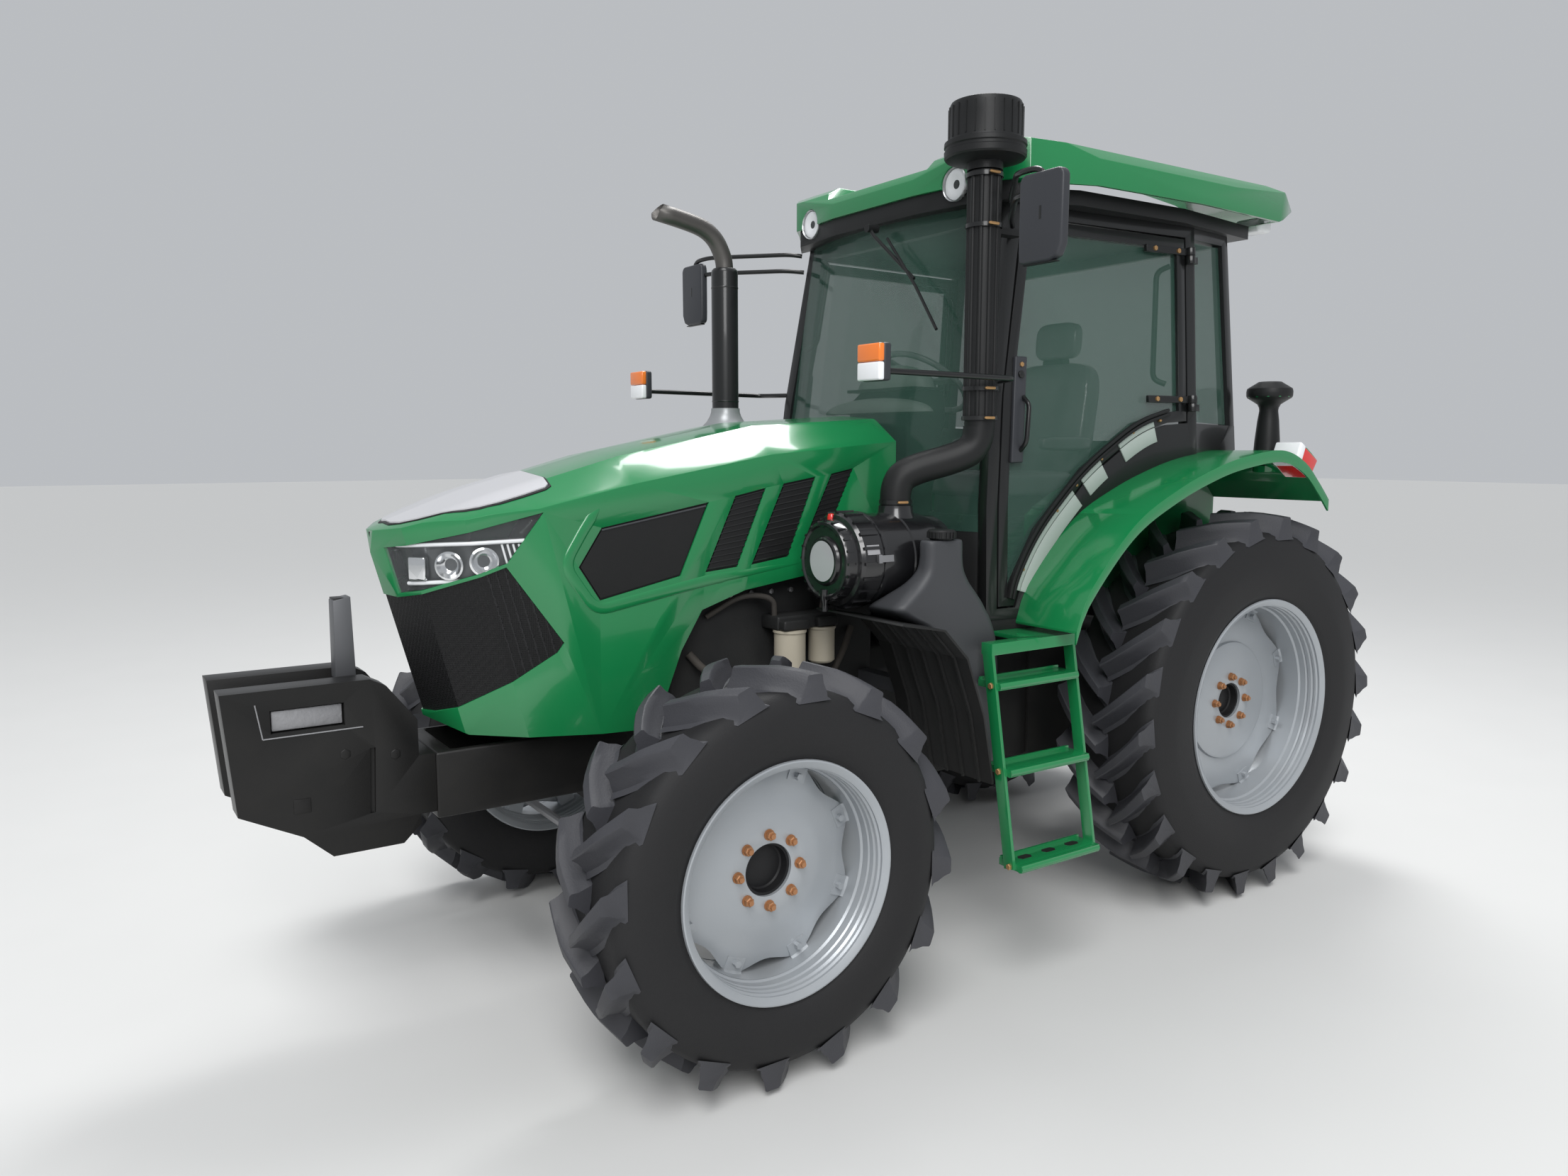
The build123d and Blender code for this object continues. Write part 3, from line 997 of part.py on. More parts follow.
parts["precleaner"] = make_precleaner()
parts |= both_sides("mirror", make_mirror())
parts |= both_sides("marker", make_marker())
parts["seat"] = make_seat()
parts["steering_column"] = make_steering_column()
parts["lower_links"] = make_lower_links()
parts |= both_sides("lift_arm", make_lift_arms())
parts |= both_sides("lift_rod", make_lift_rod())

for name, shape in parts.items():
    export_step(shape, f"parts/{name}.step")
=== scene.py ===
# %% [markdown]
# # Farm tractor: finish, fine detail, light and camera
#
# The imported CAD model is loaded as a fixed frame. Every size below is in metres, in that frame:
# X forward, Y to the tractor's left, Z up, ground at Z = 0.

# %%
import bmesh
import bpy
import json
from math import cos, pi, radians, sin, tan
from mathutils import Matrix, Vector


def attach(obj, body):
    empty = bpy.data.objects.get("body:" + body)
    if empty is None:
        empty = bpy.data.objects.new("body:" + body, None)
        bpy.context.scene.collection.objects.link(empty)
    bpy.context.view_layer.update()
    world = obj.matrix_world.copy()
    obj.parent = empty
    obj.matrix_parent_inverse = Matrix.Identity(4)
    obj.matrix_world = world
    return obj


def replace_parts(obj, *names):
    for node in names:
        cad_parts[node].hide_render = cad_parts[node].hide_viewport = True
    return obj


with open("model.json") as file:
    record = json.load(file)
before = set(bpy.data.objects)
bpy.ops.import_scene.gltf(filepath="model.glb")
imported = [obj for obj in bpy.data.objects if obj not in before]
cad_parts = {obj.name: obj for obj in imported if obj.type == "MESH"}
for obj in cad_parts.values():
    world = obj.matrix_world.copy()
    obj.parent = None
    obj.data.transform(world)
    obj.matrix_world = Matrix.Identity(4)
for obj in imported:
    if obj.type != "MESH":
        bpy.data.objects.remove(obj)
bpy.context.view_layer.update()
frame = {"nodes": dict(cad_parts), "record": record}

# %% [markdown]
# ## Materials
#
# A paint, casting or rubber is one function call. Each has a slow colour variation and a fine bump,
# and many have some dust that gathers low down, all from Object coordinates, so that every
# piece in the tractor's frame carries on from its neighbour.

# %%
materials = {}


def new_material(name):
    """An empty node material with its shader, and a short way to add nodes."""
    material = bpy.data.materials.new(name)
    material.use_nodes = True
    nodes, links = material.node_tree.nodes, material.node_tree.links
    shader = nodes["Principled BSDF"]
    materials[name] = material
    return material, nodes, links, shader


def noise(nodes, links, coordinates, scale, detail=4.0):
    texture = nodes.new("ShaderNodeTexNoise")
    texture.inputs["Scale"].default_value = scale
    texture.inputs["Detail"].default_value = detail
    links.new(coordinates.outputs["Object"], texture.inputs["Vector"])
    return texture


def surface(name, colour, rough, metallic=0.0, dust=0.0, dust_colour=(0.42, 0.36, 0.28), bump=0.15,
            bump_scale=220.0, vary=0.12, coat=0.0, shine=0.5):
    """A painted, cast or moulded surface."""
    material, nodes, links, shader = new_material(name)
    coordinates = nodes.new("ShaderNodeTexCoord")
    broad = noise(nodes, links, coordinates, 2.3)
    ramp = nodes.new("ShaderNodeMix")
    ramp.data_type = "RGBA"
    ramp.inputs["A"].default_value = [c * (1 - vary) for c in colour] + [1]
    ramp.inputs["B"].default_value = [min(1, c * (1 + vary)) for c in colour] + [1]
    links.new(broad.outputs["Fac"], ramp.inputs["Factor"])
    base = ramp.outputs["Result"]
    if dust:
        fine = noise(nodes, links, coordinates, 9.0, 6.0)
        place = nodes.new("ShaderNodeSeparateXYZ")
        links.new(coordinates.outputs["Object"], place.inputs["Vector"])
        low = nodes.new("ShaderNodeMapRange")
        low.inputs["From Min"].default_value = 1.9
        low.inputs["From Max"].default_value = 0.1
        links.new(place.outputs["Z"], low.inputs["Value"])
        amount = nodes.new("ShaderNodeMath")
        amount.operation = "MULTIPLY"
        links.new(fine.outputs["Fac"], amount.inputs[0])
        links.new(low.outputs["Result"], amount.inputs[1])
        strength = nodes.new("ShaderNodeMath")
        strength.operation = "MULTIPLY"
        strength.inputs[1].default_value = dust
        links.new(amount.outputs["Value"], strength.inputs[0])
        mixed = nodes.new("ShaderNodeMix")
        mixed.data_type = "RGBA"
        mixed.inputs["B"].default_value = list(dust_colour) + [1]
        links.new(strength.outputs["Value"], mixed.inputs["Factor"])
        links.new(base, mixed.inputs["A"])
        base = mixed.outputs["Result"]
    links.new(base, shader.inputs["Base Color"])
    grain = noise(nodes, links, coordinates, bump_scale, 3.0)
    relief = nodes.new("ShaderNodeBump")
    relief.inputs["Strength"].default_value = bump
    relief.inputs["Distance"].default_value = 0.002
    links.new(grain.outputs["Fac"], relief.inputs["Height"])
    links.new(relief.outputs["Normal"], shader.inputs["Normal"])
    gloss = nodes.new("ShaderNodeMapRange")
    gloss.inputs["To Min"].default_value = max(0.03, rough - 0.08)
    gloss.inputs["To Max"].default_value = min(1.0, rough + 0.1)
    links.new(broad.outputs["Fac"], gloss.inputs["Value"])
    links.new(gloss.outputs["Result"], shader.inputs["Roughness"])
    shader.inputs["Metallic"].default_value = metallic
    shader.inputs["Specular IOR Level"].default_value = shine
    shader.inputs["Coat Weight"].default_value = coat
    shader.inputs["Coat Roughness"].default_value = 0.06
    return material

# %% [markdown]
# ## Glass and net
#
# Glass is a thin tinted sheet with faint streaks. The net of the grille is a pattern of small cells
# with raised strands, because a net of this size made as wires would cost far too many faces. Its
# cells are darker than its strands: painted shade in the openings.

# %%
def glass(name, tint, alpha):
    material, nodes, links, shader = new_material(name)
    coordinates = nodes.new("ShaderNodeTexCoord")
    streaks = noise(nodes, links, coordinates, 3.0)
    gloss = nodes.new("ShaderNodeMapRange")
    gloss.inputs["To Min"].default_value = 0.02
    gloss.inputs["To Max"].default_value = 0.07
    links.new(streaks.outputs["Fac"], gloss.inputs["Value"])
    links.new(gloss.outputs["Result"], shader.inputs["Roughness"])
    shader.inputs["Base Color"].default_value = tint + (1,)
    shader.inputs["Alpha"].default_value = alpha
    shader.inputs["IOR"].default_value = 1.5
    material.surface_render_method = "BLENDED"
    return material


def mesh_surface(name, hole, strand, scale):
    """Fine black net: cells darker than the slightly raised strands, as painted shade in its openings."""
    material, nodes, links, shader = new_material(name)
    coordinates = nodes.new("ShaderNodeTexCoord")
    cells = nodes.new("ShaderNodeTexVoronoi")
    cells.feature = "DISTANCE_TO_EDGE"
    cells.inputs["Scale"].default_value = scale
    cells.inputs["Randomness"].default_value = 0.15
    links.new(coordinates.outputs["Object"], cells.inputs["Vector"])
    edge = nodes.new("ShaderNodeMapRange")
    edge.inputs["From Min"].default_value = 0.06
    edge.inputs["From Max"].default_value = 0.16
    links.new(cells.outputs["Distance"], edge.inputs["Value"])
    mixed = nodes.new("ShaderNodeMix")
    mixed.data_type = "RGBA"
    mixed.inputs["A"].default_value = list(strand) + [1]
    mixed.inputs["B"].default_value = list(hole) + [1]
    links.new(edge.outputs["Result"], mixed.inputs["Factor"])
    links.new(mixed.outputs["Result"], shader.inputs["Base Color"])
    relief = nodes.new("ShaderNodeBump")
    relief.invert = True
    relief.inputs["Strength"].default_value = 0.8
    relief.inputs["Distance"].default_value = 0.003
    links.new(edge.outputs["Result"], relief.inputs["Height"])
    links.new(relief.outputs["Normal"], shader.inputs["Normal"])
    shader.inputs["Roughness"].default_value = 0.42
    shader.inputs["Specular IOR Level"].default_value = 0.3
    return material

# %% [markdown]
# ## Paints and stuffs
#
# One line for each finish: colour, roughness, and what is special about it.

# %%
GREEN = (0.006, 0.185, 0.055)
# Grille net: the cell colour is painted shade in the openings, a touch darker than the strands.
mesh_surface("grille_mesh", (0.005, 0.005, 0.005), (0.014, 0.014, 0.015), 160)
surface("green_paint", GREEN, 0.2, coat=0.55, bump=0.015, vary=0.04, dust=0.03)
surface("cast_grey", (0.014, 0.015, 0.016), 0.5, bump=0.25, dust=0.06, shine=0.25)
surface("ballast_black", (0.009, 0.0092, 0.0095), 0.36, bump=0.12, dust=0.03, shine=0.25)
surface("black_plastic", (0.012, 0.0125, 0.013), 0.42, bump=0.2, bump_scale=500, dust=0.03, shine=0.25)
surface("black_paint", (0.010, 0.0105, 0.011), 0.3, bump=0.05, coat=0.3, dust=0.02, shine=0.3)
surface("rubber", (0.022, 0.022, 0.023), 0.74, bump=0.35, bump_scale=160, dust=0.55,
        dust_colour=(0.30, 0.25, 0.19), shine=0.3)
surface("rim_paint", (0.33, 0.35, 0.38), 0.36, metallic=0.3, bump=0.05, dust=0.12)
surface("rim_silver", (0.36, 0.385, 0.41), 0.34, metallic=0.35, bump=0.04, dust=0.14)
# Tyre carcass and sidewall: darker than plain rubber, partly painted shade between the lugs, with some dust low
# down.
surface("tyre_side", (0.014, 0.014, 0.015), 0.6, bump=0.3, bump_scale=260, dust=0.10,
        dust_colour=(0.05, 0.045, 0.04), shine=0.25)
# Tyre lugs: lighter than the carcass, partly dust and partly painted light on their lit faces.
surface("tyre_lug", (0.040, 0.041, 0.048), 0.5, bump=0.3, bump_scale=180, dust=0.2,
        dust_colour=(0.09, 0.085, 0.08), shine=0.35)
surface("cast_black", (0.012, 0.012, 0.013), 0.5, bump=0.25, shine=0.25)
surface("plated_bolt", (0.46, 0.27, 0.12), 0.4, metallic=0.7, bump=0.05)
surface("rusty_bolt", (0.36, 0.17, 0.075), 0.5, metallic=0.4, bump=0.3, vary=0.35)
surface("panel_grey", (0.33, 0.38, 0.35), 0.42, bump=0.05, dust=0.1)
surface("silver", (0.55, 0.56, 0.57), 0.28, metallic=0.75, bump=0.03)
surface("silver_paint", (0.52, 0.52, 0.54), 0.3, metallic=0.2, bump=0.02, vary=0.03, coat=0.4)
surface("chrome", (0.78, 0.79, 0.80), 0.08, metallic=1.0, bump=0.01, vary=0.02)
surface("gloss_black", (0.008, 0.008, 0.009), 0.22, bump=0.04, coat=0.5)
surface("dark_plastic", (0.035, 0.037, 0.043), 0.4, bump=0.12, bump_scale=420, shine=0.35)
surface("burnt_steel", (0.10, 0.095, 0.09), 0.42, metallic=0.7, bump=0.1)
surface("collar_grey", (0.30, 0.31, 0.32), 0.35, metallic=0.4, bump=0.04)
surface("plate_grey", (0.11, 0.113, 0.12), 0.45, metallic=0.3, bump=0.1)
surface("rough_silver", (0.28, 0.28, 0.29), 0.5, metallic=0.5, bump=0.9, bump_scale=60)
surface("filter_beige", (0.42, 0.38, 0.30), 0.45, bump=0.05)
surface("seat_film", (0.30, 0.31, 0.32), 0.25, bump=1.0, bump_scale=16, vary=0.5, coat=1.0)
surface("mirror_glass", (0.75, 0.77, 0.79), 0.03, metallic=1.0, bump=0.0, vary=0.02)
surface("steel", (0.35, 0.35, 0.36), 0.38, metallic=0.9, bump=0.12)
surface("lining", (0.30, 0.30, 0.31), 0.8, bump=0.4, bump_scale=700)
surface("fabric", (0.05, 0.05, 0.055), 0.9, bump=0.6, bump_scale=900)
surface("tank_plastic", (0.045, 0.047, 0.052), 0.46, bump=0.2, bump_scale=420, dust=0.03, shine=0.35)
surface("lamp_white", (0.85, 0.86, 0.88), 0.2, bump=0.02, vary=0.02, coat=0.6)
surface("lamp_orange", (0.85, 0.20, 0.02), 0.2, bump=0.02, vary=0.03, coat=0.6)
surface("lamp_red", (0.62, 0.02, 0.015), 0.2, bump=0.02, vary=0.03, coat=0.6)
glass("window_glass", (0.05, 0.11, 0.085), 0.40)
glass("clear_lens", (0.30, 0.32, 0.33), 0.12)
surface("lamp_dark", (0.06, 0.062, 0.066), 0.25, metallic=0.6, bump=0.02)
print("materials:", sorted(materials))

# %% [markdown]
# ## Finish of the CAD pieces
#
# Each CAD node takes one of the materials above, by the start of its name.

# %%
FINISH = {"tyre": "rubber", "rim": "rim_paint", "front_axle": "cast_grey", "knuckle": "cast_grey",
          "tie_rod": "steel", "engine": "cast_grey", "gearbox": "cast_grey", "rear_housing": "cast_grey",
          "front_frame": "cast_grey", "front_ballast": "cast_grey",
          "hood_support": "black_paint", "hood": "green_paint", "grille": "grille_mesh",
          "headlamp": "silver", "vents": "black_plastic", "exhaust": "black_paint",
          "cab_frame": "black_paint",
          "cab_floor": "black_plastic", "roof_lining": "black_plastic", "roof": "green_paint",
          "windscreen": "window_glass", "rear_window": "window_glass", "quarter_glass": "window_glass",
          "door_glass": "window_glass", "door": "black_paint", "fender": "green_paint",
          "mudguard": "black_plastic",
          "ladder": "green_paint", "fuel_tank": "tank_plastic", "battery_box": "tank_plastic",
          "air_cleaner": "black_plastic", "intake_pipe": "black_plastic", "precleaner": "black_plastic",
          "mirror": "black_plastic", "marker": "black_plastic", "seat": "fabric",
          "steering_column": "black_plastic", "lower_links": "black_paint", "lift": "black_paint"}

for name, node in frame["nodes"].items():
    starts = [start for start in FINISH if name.startswith(start)]
    chosen = materials[FINISH[max(starts, key=len)]]
    if not node.data.materials:
        node.data.materials.append(chosen)
    for slot in node.material_slots:
        slot.material = chosen
print("finished nodes:", len(frame["nodes"]))

# %% [markdown]
# ## Ways of making shapes
#
# Short functions that turn profiles, paths and outlines into meshes. Every piece is made in the
# tractor's own frame, with its object at the origin.

# %%
NODES = frame["nodes"]
SIDES = ((1, "left"), (-1, "right"))


def body_of(node):
    """Name of the CAD body that carries a node."""
    for body, names in frame["record"]["behaviour"]["bodies"].items():
        if node in names:
            return body
    raise ValueError(node)


def add_piece(name, vertices, faces, material, body, angle=35, smooth=True):
    """Mesh piece that rides on a CAD body."""
    mesh = bpy.data.meshes.new(name)
    mesh.from_pydata([tuple(v) for v in vertices], [], faces)
    clean_normals(mesh)
    return add_object(name, mesh, material, body, angle, smooth)


def clean_normals(mesh):
    work = bmesh.new()
    work.from_mesh(mesh)
    bmesh.ops.recalc_face_normals(work, faces=work.faces)
    work.to_mesh(mesh)
    work.free()


def add_object(name, mesh, material, body, angle=35, smooth=True):
    if smooth:
        mesh.shade_smooth()
        mesh.set_sharp_from_angle(angle=radians(angle))
    piece = bpy.data.objects.new(name, mesh)
    bpy.context.scene.collection.objects.link(piece)
    if material:
        mesh.materials.clear()
        mesh.materials.append(materials[material])
    if body:
        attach(piece, body)
    return piece


def applied(piece):
    """The piece with its modifiers turned into plain mesh."""
    graph = bpy.context.evaluated_depsgraph_get()
    mesh = bpy.data.meshes.new_from_object(piece.evaluated_get(graph))
    piece.modifiers.clear()
    old = piece.data
    piece.data = mesh
    mesh.name = piece.name
    bpy.data.meshes.remove(old)
    return piece

# %% [markdown]
# ## Softened edges
#
# Pressed, cast and painted pieces have no sharp edges. A copy of the CAD piece is merged, its flat
# faces are joined, and its edges are rounded; the copy then stands in for the piece.

# %%
def softened(node, material, width=0.006, segments=2, angle=20):
    """A CAD node with its edges rounded, shown in the node's place."""
    work = bmesh.new()
    work.from_mesh(NODES[node].data)
    bmesh.ops.remove_doubles(work, verts=work.verts, dist=2e-5)
    bmesh.ops.dissolve_limit(work, angle_limit=radians(0.6), verts=work.verts, edges=work.edges)
    mesh = bpy.data.meshes.new(node + "_soft")
    work.to_mesh(mesh)
    work.free()
    piece = add_object(node + "_soft", mesh, material, None, smooth=False)
    bevel = piece.modifiers.new("edges", "BEVEL")
    bevel.width = width
    bevel.segments = segments
    bevel.limit_method = "ANGLE"
    bevel.angle_limit = radians(angle)
    bevel.use_clamp_overlap = True
    bevel.miter_outer = "MITER_ARC"
    applied(piece)
    piece.data.shade_smooth()
    piece.data.set_sharp_from_angle(angle=radians(32))
    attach(piece, body_of(node))
    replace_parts(piece, node)
    return piece

# %% [markdown]
# ## Turned and bent shapes
#
# Wheels, lamps and pipes are profiles turned about an axis, or round bars along a path.

# %%
def turned(profile, steps):
    """Vertices and faces of an (y, radius) profile turned about the Y axis."""
    vertices, faces = [], []
    rings = len(profile)
    for step in range(steps):
        a = 2 * pi * step / steps
        vertices += [(r * sin(a), y, r * cos(a)) for y, r in profile]
    for step in range(steps):
        here, there = step * rings, (step + 1) % steps * rings
        faces += [(here + i, here + i + 1, there + i + 1, there + i) for i in range(rings - 1)]
    return vertices, faces


def frames_along(points):
    """Position and two cross directions at each point of a path, without twist."""
    points = [Vector(p) for p in points]
    result = []
    side = None
    for index, point in enumerate(points):
        ahead = points[min(index + 1, len(points) - 1)] - points[max(index - 1, 0)]
        ahead.normalize()
        if side is None:
            side = ahead.orthogonal().normalized()
        side = (side - ahead * side.dot(ahead)).normalized()
        result.append((point, side, ahead.cross(side)))
    return result


def tube(points, radius, sides=16, caps=True):
    """Vertices and faces of a round bar along a path; the radius may be a list."""
    vertices, faces = [], []
    stations = frames_along(points)
    for index, (point, side, other) in enumerate(stations):
        r = radius[index] if isinstance(radius, (list, tuple)) else radius
        for step in range(sides):
            a = 2 * pi * step / sides
            vertices.append(point + side * (r * cos(a)) + other * (r * sin(a)))
    for index in range(len(stations) - 1):
        for step in range(sides):
            a, b = index * sides + step, index * sides + (step + 1) % sides
            faces.append((a, b, b + sides, a + sides))
    if caps:
        faces.append(tuple(range(sides)))
        faces.append(tuple(range(len(vertices) - sides, len(vertices))))
    return vertices, faces


def rounded_path(corners, radius, steps=6):
    """Path through corners, each rounded by an arc-like curve."""
    corners = [Vector(c) for c in corners]
    path = [corners[0]]
    for before, corner, after in zip(corners, corners[1:], corners[2:]):
        start = corner + (before - corner).normalized() * min(radius, (before - corner).length * 0.49)
        end = corner + (after - corner).normalized() * min(radius, (after - corner).length * 0.49)
        for step in range(steps + 1):
            t = step / steps
            path.append(start * (1 - t) ** 2 + corner * (2 * t * (1 - t)) + end * t ** 2)
    path.append(corners[-1])
    return path

# %% [markdown]
# ## Flat shapes and sets of shapes
#
# Plates, boxes, and what is needed to join, move and mirror shapes before they become a piece.

# %%
def plate(outline, thickness, place):
    """Flat plate: outline points (a, b) and thickness c, placed by a function of (a, b, c)."""
    count = len(outline)
    vertices = [place(a, b, 0) for a, b in outline] + [place(a, b, thickness) for a, b in outline]
    faces = [tuple(range(count)), tuple(range(2 * count - 1, count - 1, -1))]
    faces += [(i, (i + 1) % count, (i + 1) % count + count, i + count) for i in range(count)]
    return vertices, faces


def box(x, y, z):
    """Vertices and faces of a box between limits."""
    vertices = [(a, b, c) for a in x for b in y for c in z]
    faces = [(0, 1, 3, 2), (4, 6, 7, 5), (0, 4, 5, 1), (2, 3, 7, 6), (0, 2, 6, 4), (1, 5, 7, 3)]
    return vertices, faces


def joined(*shapes):
    """Several (vertices, faces) shapes as one."""
    vertices, faces = [], []
    for shape_vertices, shape_faces in shapes:
        start = len(vertices)
        vertices += [tuple(v) for v in shape_vertices]
        faces += [tuple(index + start for index in face) for face in shape_faces]
    return vertices, faces


def moved(shape, matrix):
    return [matrix @ Vector(v) for v in shape[0]], shape[1]


def mirrored(shape):
    """The same shape on the tractor's right."""
    return [(v[0], -v[1], v[2]) for v in shape[0]], [tuple(reversed(face)) for face in shape[1]]


def on_side(shape, side):
    """The shape itself for the left (1), its mirror image for the right (-1)."""
    return shape if side > 0 else mirrored(shape)


def bevelled(piece, width, segments=2, angle=30):
    """Rounds a piece's edges and turns the result into plain mesh."""
    bevel = piece.modifiers.new("edges", "BEVEL")
    bevel.width = width
    bevel.segments = segments
    bevel.limit_method = "ANGLE"
    bevel.angle_limit = radians(angle)
    applied(piece)
    piece.data.shade_smooth()
    piece.data.set_sharp_from_angle(angle=radians(35))
    return piece


def both_sides(name, shape, material, body, angle=35, width=0.0, segments=2):
    """The same shape on the left and, mirrored, on the right; the body's name ends in the side."""
    for side, label in SIDES:
        carrier = body if body in ("chassis", "hood") else f"{body}_{label}"
        piece = add_piece(f"{name}_{label}", *on_side(shape, side), material, carrier, angle)
        if width:
            bevelled(piece, width, segments)


print("shape functions ready")

# %% [markdown]
# ## Copies round an axle
#
# One Geometry Nodes group makes a ring of copies of a source piece about the Y axis. Its inputs are
# the source, the number of copies, the angle of the first and the material. It serves the tyre lugs,
# the wheel bolts and the disc clamps. Nothing in it is random.

# %%
def ring_group():
    """Node group: a ring of copies of an object about the Y axis."""
    group = bpy.data.node_groups.new("ring_of_copies", "GeometryNodeTree")
    face = group.interface
    face.new_socket("Source", in_out="INPUT", socket_type="NodeSocketObject")
    face.new_socket("Count", in_out="INPUT", socket_type="NodeSocketInt")
    face.new_socket("Phase", in_out="INPUT", socket_type="NodeSocketFloat")
    face.new_socket("Material", in_out="INPUT", socket_type="NodeSocketMaterial")
    face.new_socket("Geometry", in_out="OUTPUT", socket_type="NodeSocketGeometry")
    nodes, links = group.nodes, group.links
    inputs, output = nodes.new("NodeGroupInput"), nodes.new("NodeGroupOutput")
    line = nodes.new("GeometryNodeMeshLine")
    line.inputs["Offset"].default_value = (0, 0, 0)
    links.new(inputs.outputs["Count"], line.inputs["Count"])
    step = nodes.new("ShaderNodeMath")
    step.operation = "DIVIDE"
    step.inputs[0].default_value = 2 * pi
    links.new(inputs.outputs["Count"], step.inputs[1])
    angle = nodes.new("ShaderNodeMath")
    angle.operation = "MULTIPLY_ADD"
    links.new(nodes.new("GeometryNodeInputIndex").outputs["Index"], angle.inputs[0])
    links.new(step.outputs["Value"], angle.inputs[1])
    links.new(inputs.outputs["Phase"], angle.inputs[2])
    turn = nodes.new("ShaderNodeCombineXYZ")
    links.new(angle.outputs["Value"], turn.inputs["Y"])
    source = nodes.new("GeometryNodeObjectInfo")
    links.new(inputs.outputs["Source"], source.inputs["Object"])
    copies = nodes.new("GeometryNodeInstanceOnPoints")
    links.new(line.outputs["Mesh"], copies.inputs["Points"])
    links.new(source.outputs["Geometry"], copies.inputs["Instance"])
    links.new(turn.outputs["Vector"], copies.inputs["Rotation"])
    real = nodes.new("GeometryNodeRealizeInstances")
    links.new(copies.outputs["Instances"], real.inputs["Geometry"])
    painted = nodes.new("GeometryNodeSetMaterial")
    links.new(real.outputs["Geometry"], painted.inputs["Geometry"])
    links.new(inputs.outputs["Material"], painted.inputs["Material"])
    links.new(painted.outputs["Geometry"], output.inputs["Geometry"])
    return group

# %% [markdown]
# ## Using the ring
#
# The group is put on an empty piece, read out as plain mesh, and the modifier goes with its holder.
# Several meshes are then merged into one piece, each keeping its material.

# %%
RING = ring_group()


def ring_of(name, shape, count, phase, material, angle=35):
    """Mesh of a ring of copies of a shape; the phase is a share of one step."""
    mesh = bpy.data.meshes.new(name + "_source")
    mesh.from_pydata([tuple(v) for v in shape[0]], [], shape[1])
    clean_normals(mesh)
    mesh.shade_smooth()
    mesh.set_sharp_from_angle(angle=radians(angle))
    source = bpy.data.objects.new(name + "_source", mesh)
    bpy.context.scene.collection.objects.link(source)
    holder = bpy.data.objects.new(name, bpy.data.meshes.new(name))
    bpy.context.scene.collection.objects.link(holder)
    modifier = holder.modifiers.new("ring", "NODES")
    modifier.node_group = RING
    keys = {item.name: item.identifier for item in RING.interface.items_tree if item.in_out == "INPUT"}
    modifier[keys["Source"]] = source
    modifier[keys["Count"]] = count
    modifier[keys["Phase"]] = phase * 2 * pi / count
    modifier[keys["Material"]] = materials[material]
    holder.update_tag()
    bpy.context.view_layer.update()
    graph = bpy.context.evaluated_depsgraph_get()
    result = bpy.data.meshes.new_from_object(holder.evaluated_get(graph))
    bpy.data.objects.remove(holder)
    bpy.data.objects.remove(source)
    return result


def merged_piece(name, meshes, place, body, mirror_y=False):
    """Several meshes as one piece, moved to its place and, if asked, mirrored to the right side."""
    work = bmesh.new()
    slots = []
    for mesh in meshes:
        start = len(work.faces)
        work.from_mesh(mesh)
        work.faces.ensure_lookup_table()
        shift = len(slots)
        for face in work.faces[start:]:
            face.material_index += shift
        slots += list(mesh.materials)
    matrix = Matrix.Translation(place)
    if mirror_y:
        matrix = matrix @ Matrix.Scale(-1, 4, (0, 1, 0))
    work.transform(matrix)
    if mirror_y:
        bmesh.ops.reverse_faces(work, faces=work.faces)
    result = bpy.data.meshes.new(name)
    work.to_mesh(result)
    work.free()
    for material in slots:
        result.materials.append(material)
    piece = bpy.data.objects.new(name, result)
    bpy.context.scene.collection.objects.link(piece)
    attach(piece, body)
    return piece


def plain_mesh(name, shape, material, angle=35):
    mesh = bpy.data.meshes.new(name)
    mesh.from_pydata([tuple(v) for v in shape[0]], [], shape[1])
    clean_normals(mesh)
    mesh.shade_smooth()
    mesh.set_sharp_from_angle(angle=radians(angle))
    mesh.materials.append(materials[material])
    return mesh


print("node group:", RING.name)

# %% [markdown]
# ## Tyres
#
# A smooth carcass is turned from a profile, and one paddle lug is lofted from the middle of the tread
# to the shoulder. Its base flares into the carcass, as moulded rubber does. The left and right rows
# are half a pitch apart.

# %%
# Sizes of a wheel: axle place, tyre, rim and disc
FRONT = dict(x=1.060, z=0.620, y=0.890, width=0.345, lugs=16, lug_height=0.066, rim=0.359,
             rim_width=0.316, face=0.030, bore=0.080, bolt_circle=0.108,
             dish=[(0.027, 0.170), (0.020, 0.195), (0.017, 0.250)])
REAR = dict(x=-1.340, z=0.795, y=0.740, width=0.428, lugs=22, lug_height=0.078, rim=0.446,
            rim_width=0.406, face=0.044, bore=0.074, bolt_circle=0.102,
            dish=[(0.041, 0.236), (0.038, 0.246), (0.026, 0.250), (0.0255, 0.300)])
LUG_HALF, LUG_ANGLE, SHOULDER_DROP = 0.013, radians(42), 0.021
WHEEL_STEPS, WHEEL_BOLTS = 96, 8


def tyre_profile(wheel):
    """From the left bead over the tread to the right bead, as (y, radius)."""
    half, carcass, rim = wheel["width"] / 2, wheel["z"] - wheel["lug_height"], wheel["rim"]
    bead = wheel["rim_width"] / 2 - 0.0093
    middle = (rim + carcass) / 2
    left = [(bead, rim - 0.022), (bead, rim + 0.004), (bead + 0.004, rim + 0.011),
            (half - 0.007, rim + 0.030), (half - 0.001, middle - 0.02), (half, middle),
            (half - 0.003, middle + 0.025), (half - 0.010, carcass - 0.045), (half - 0.022, carcass - 0.018),
            (half - 0.040, carcass - 0.004), (half - 0.07, carcass)]
    return left + [(-y, r) for y, r in reversed(left)]


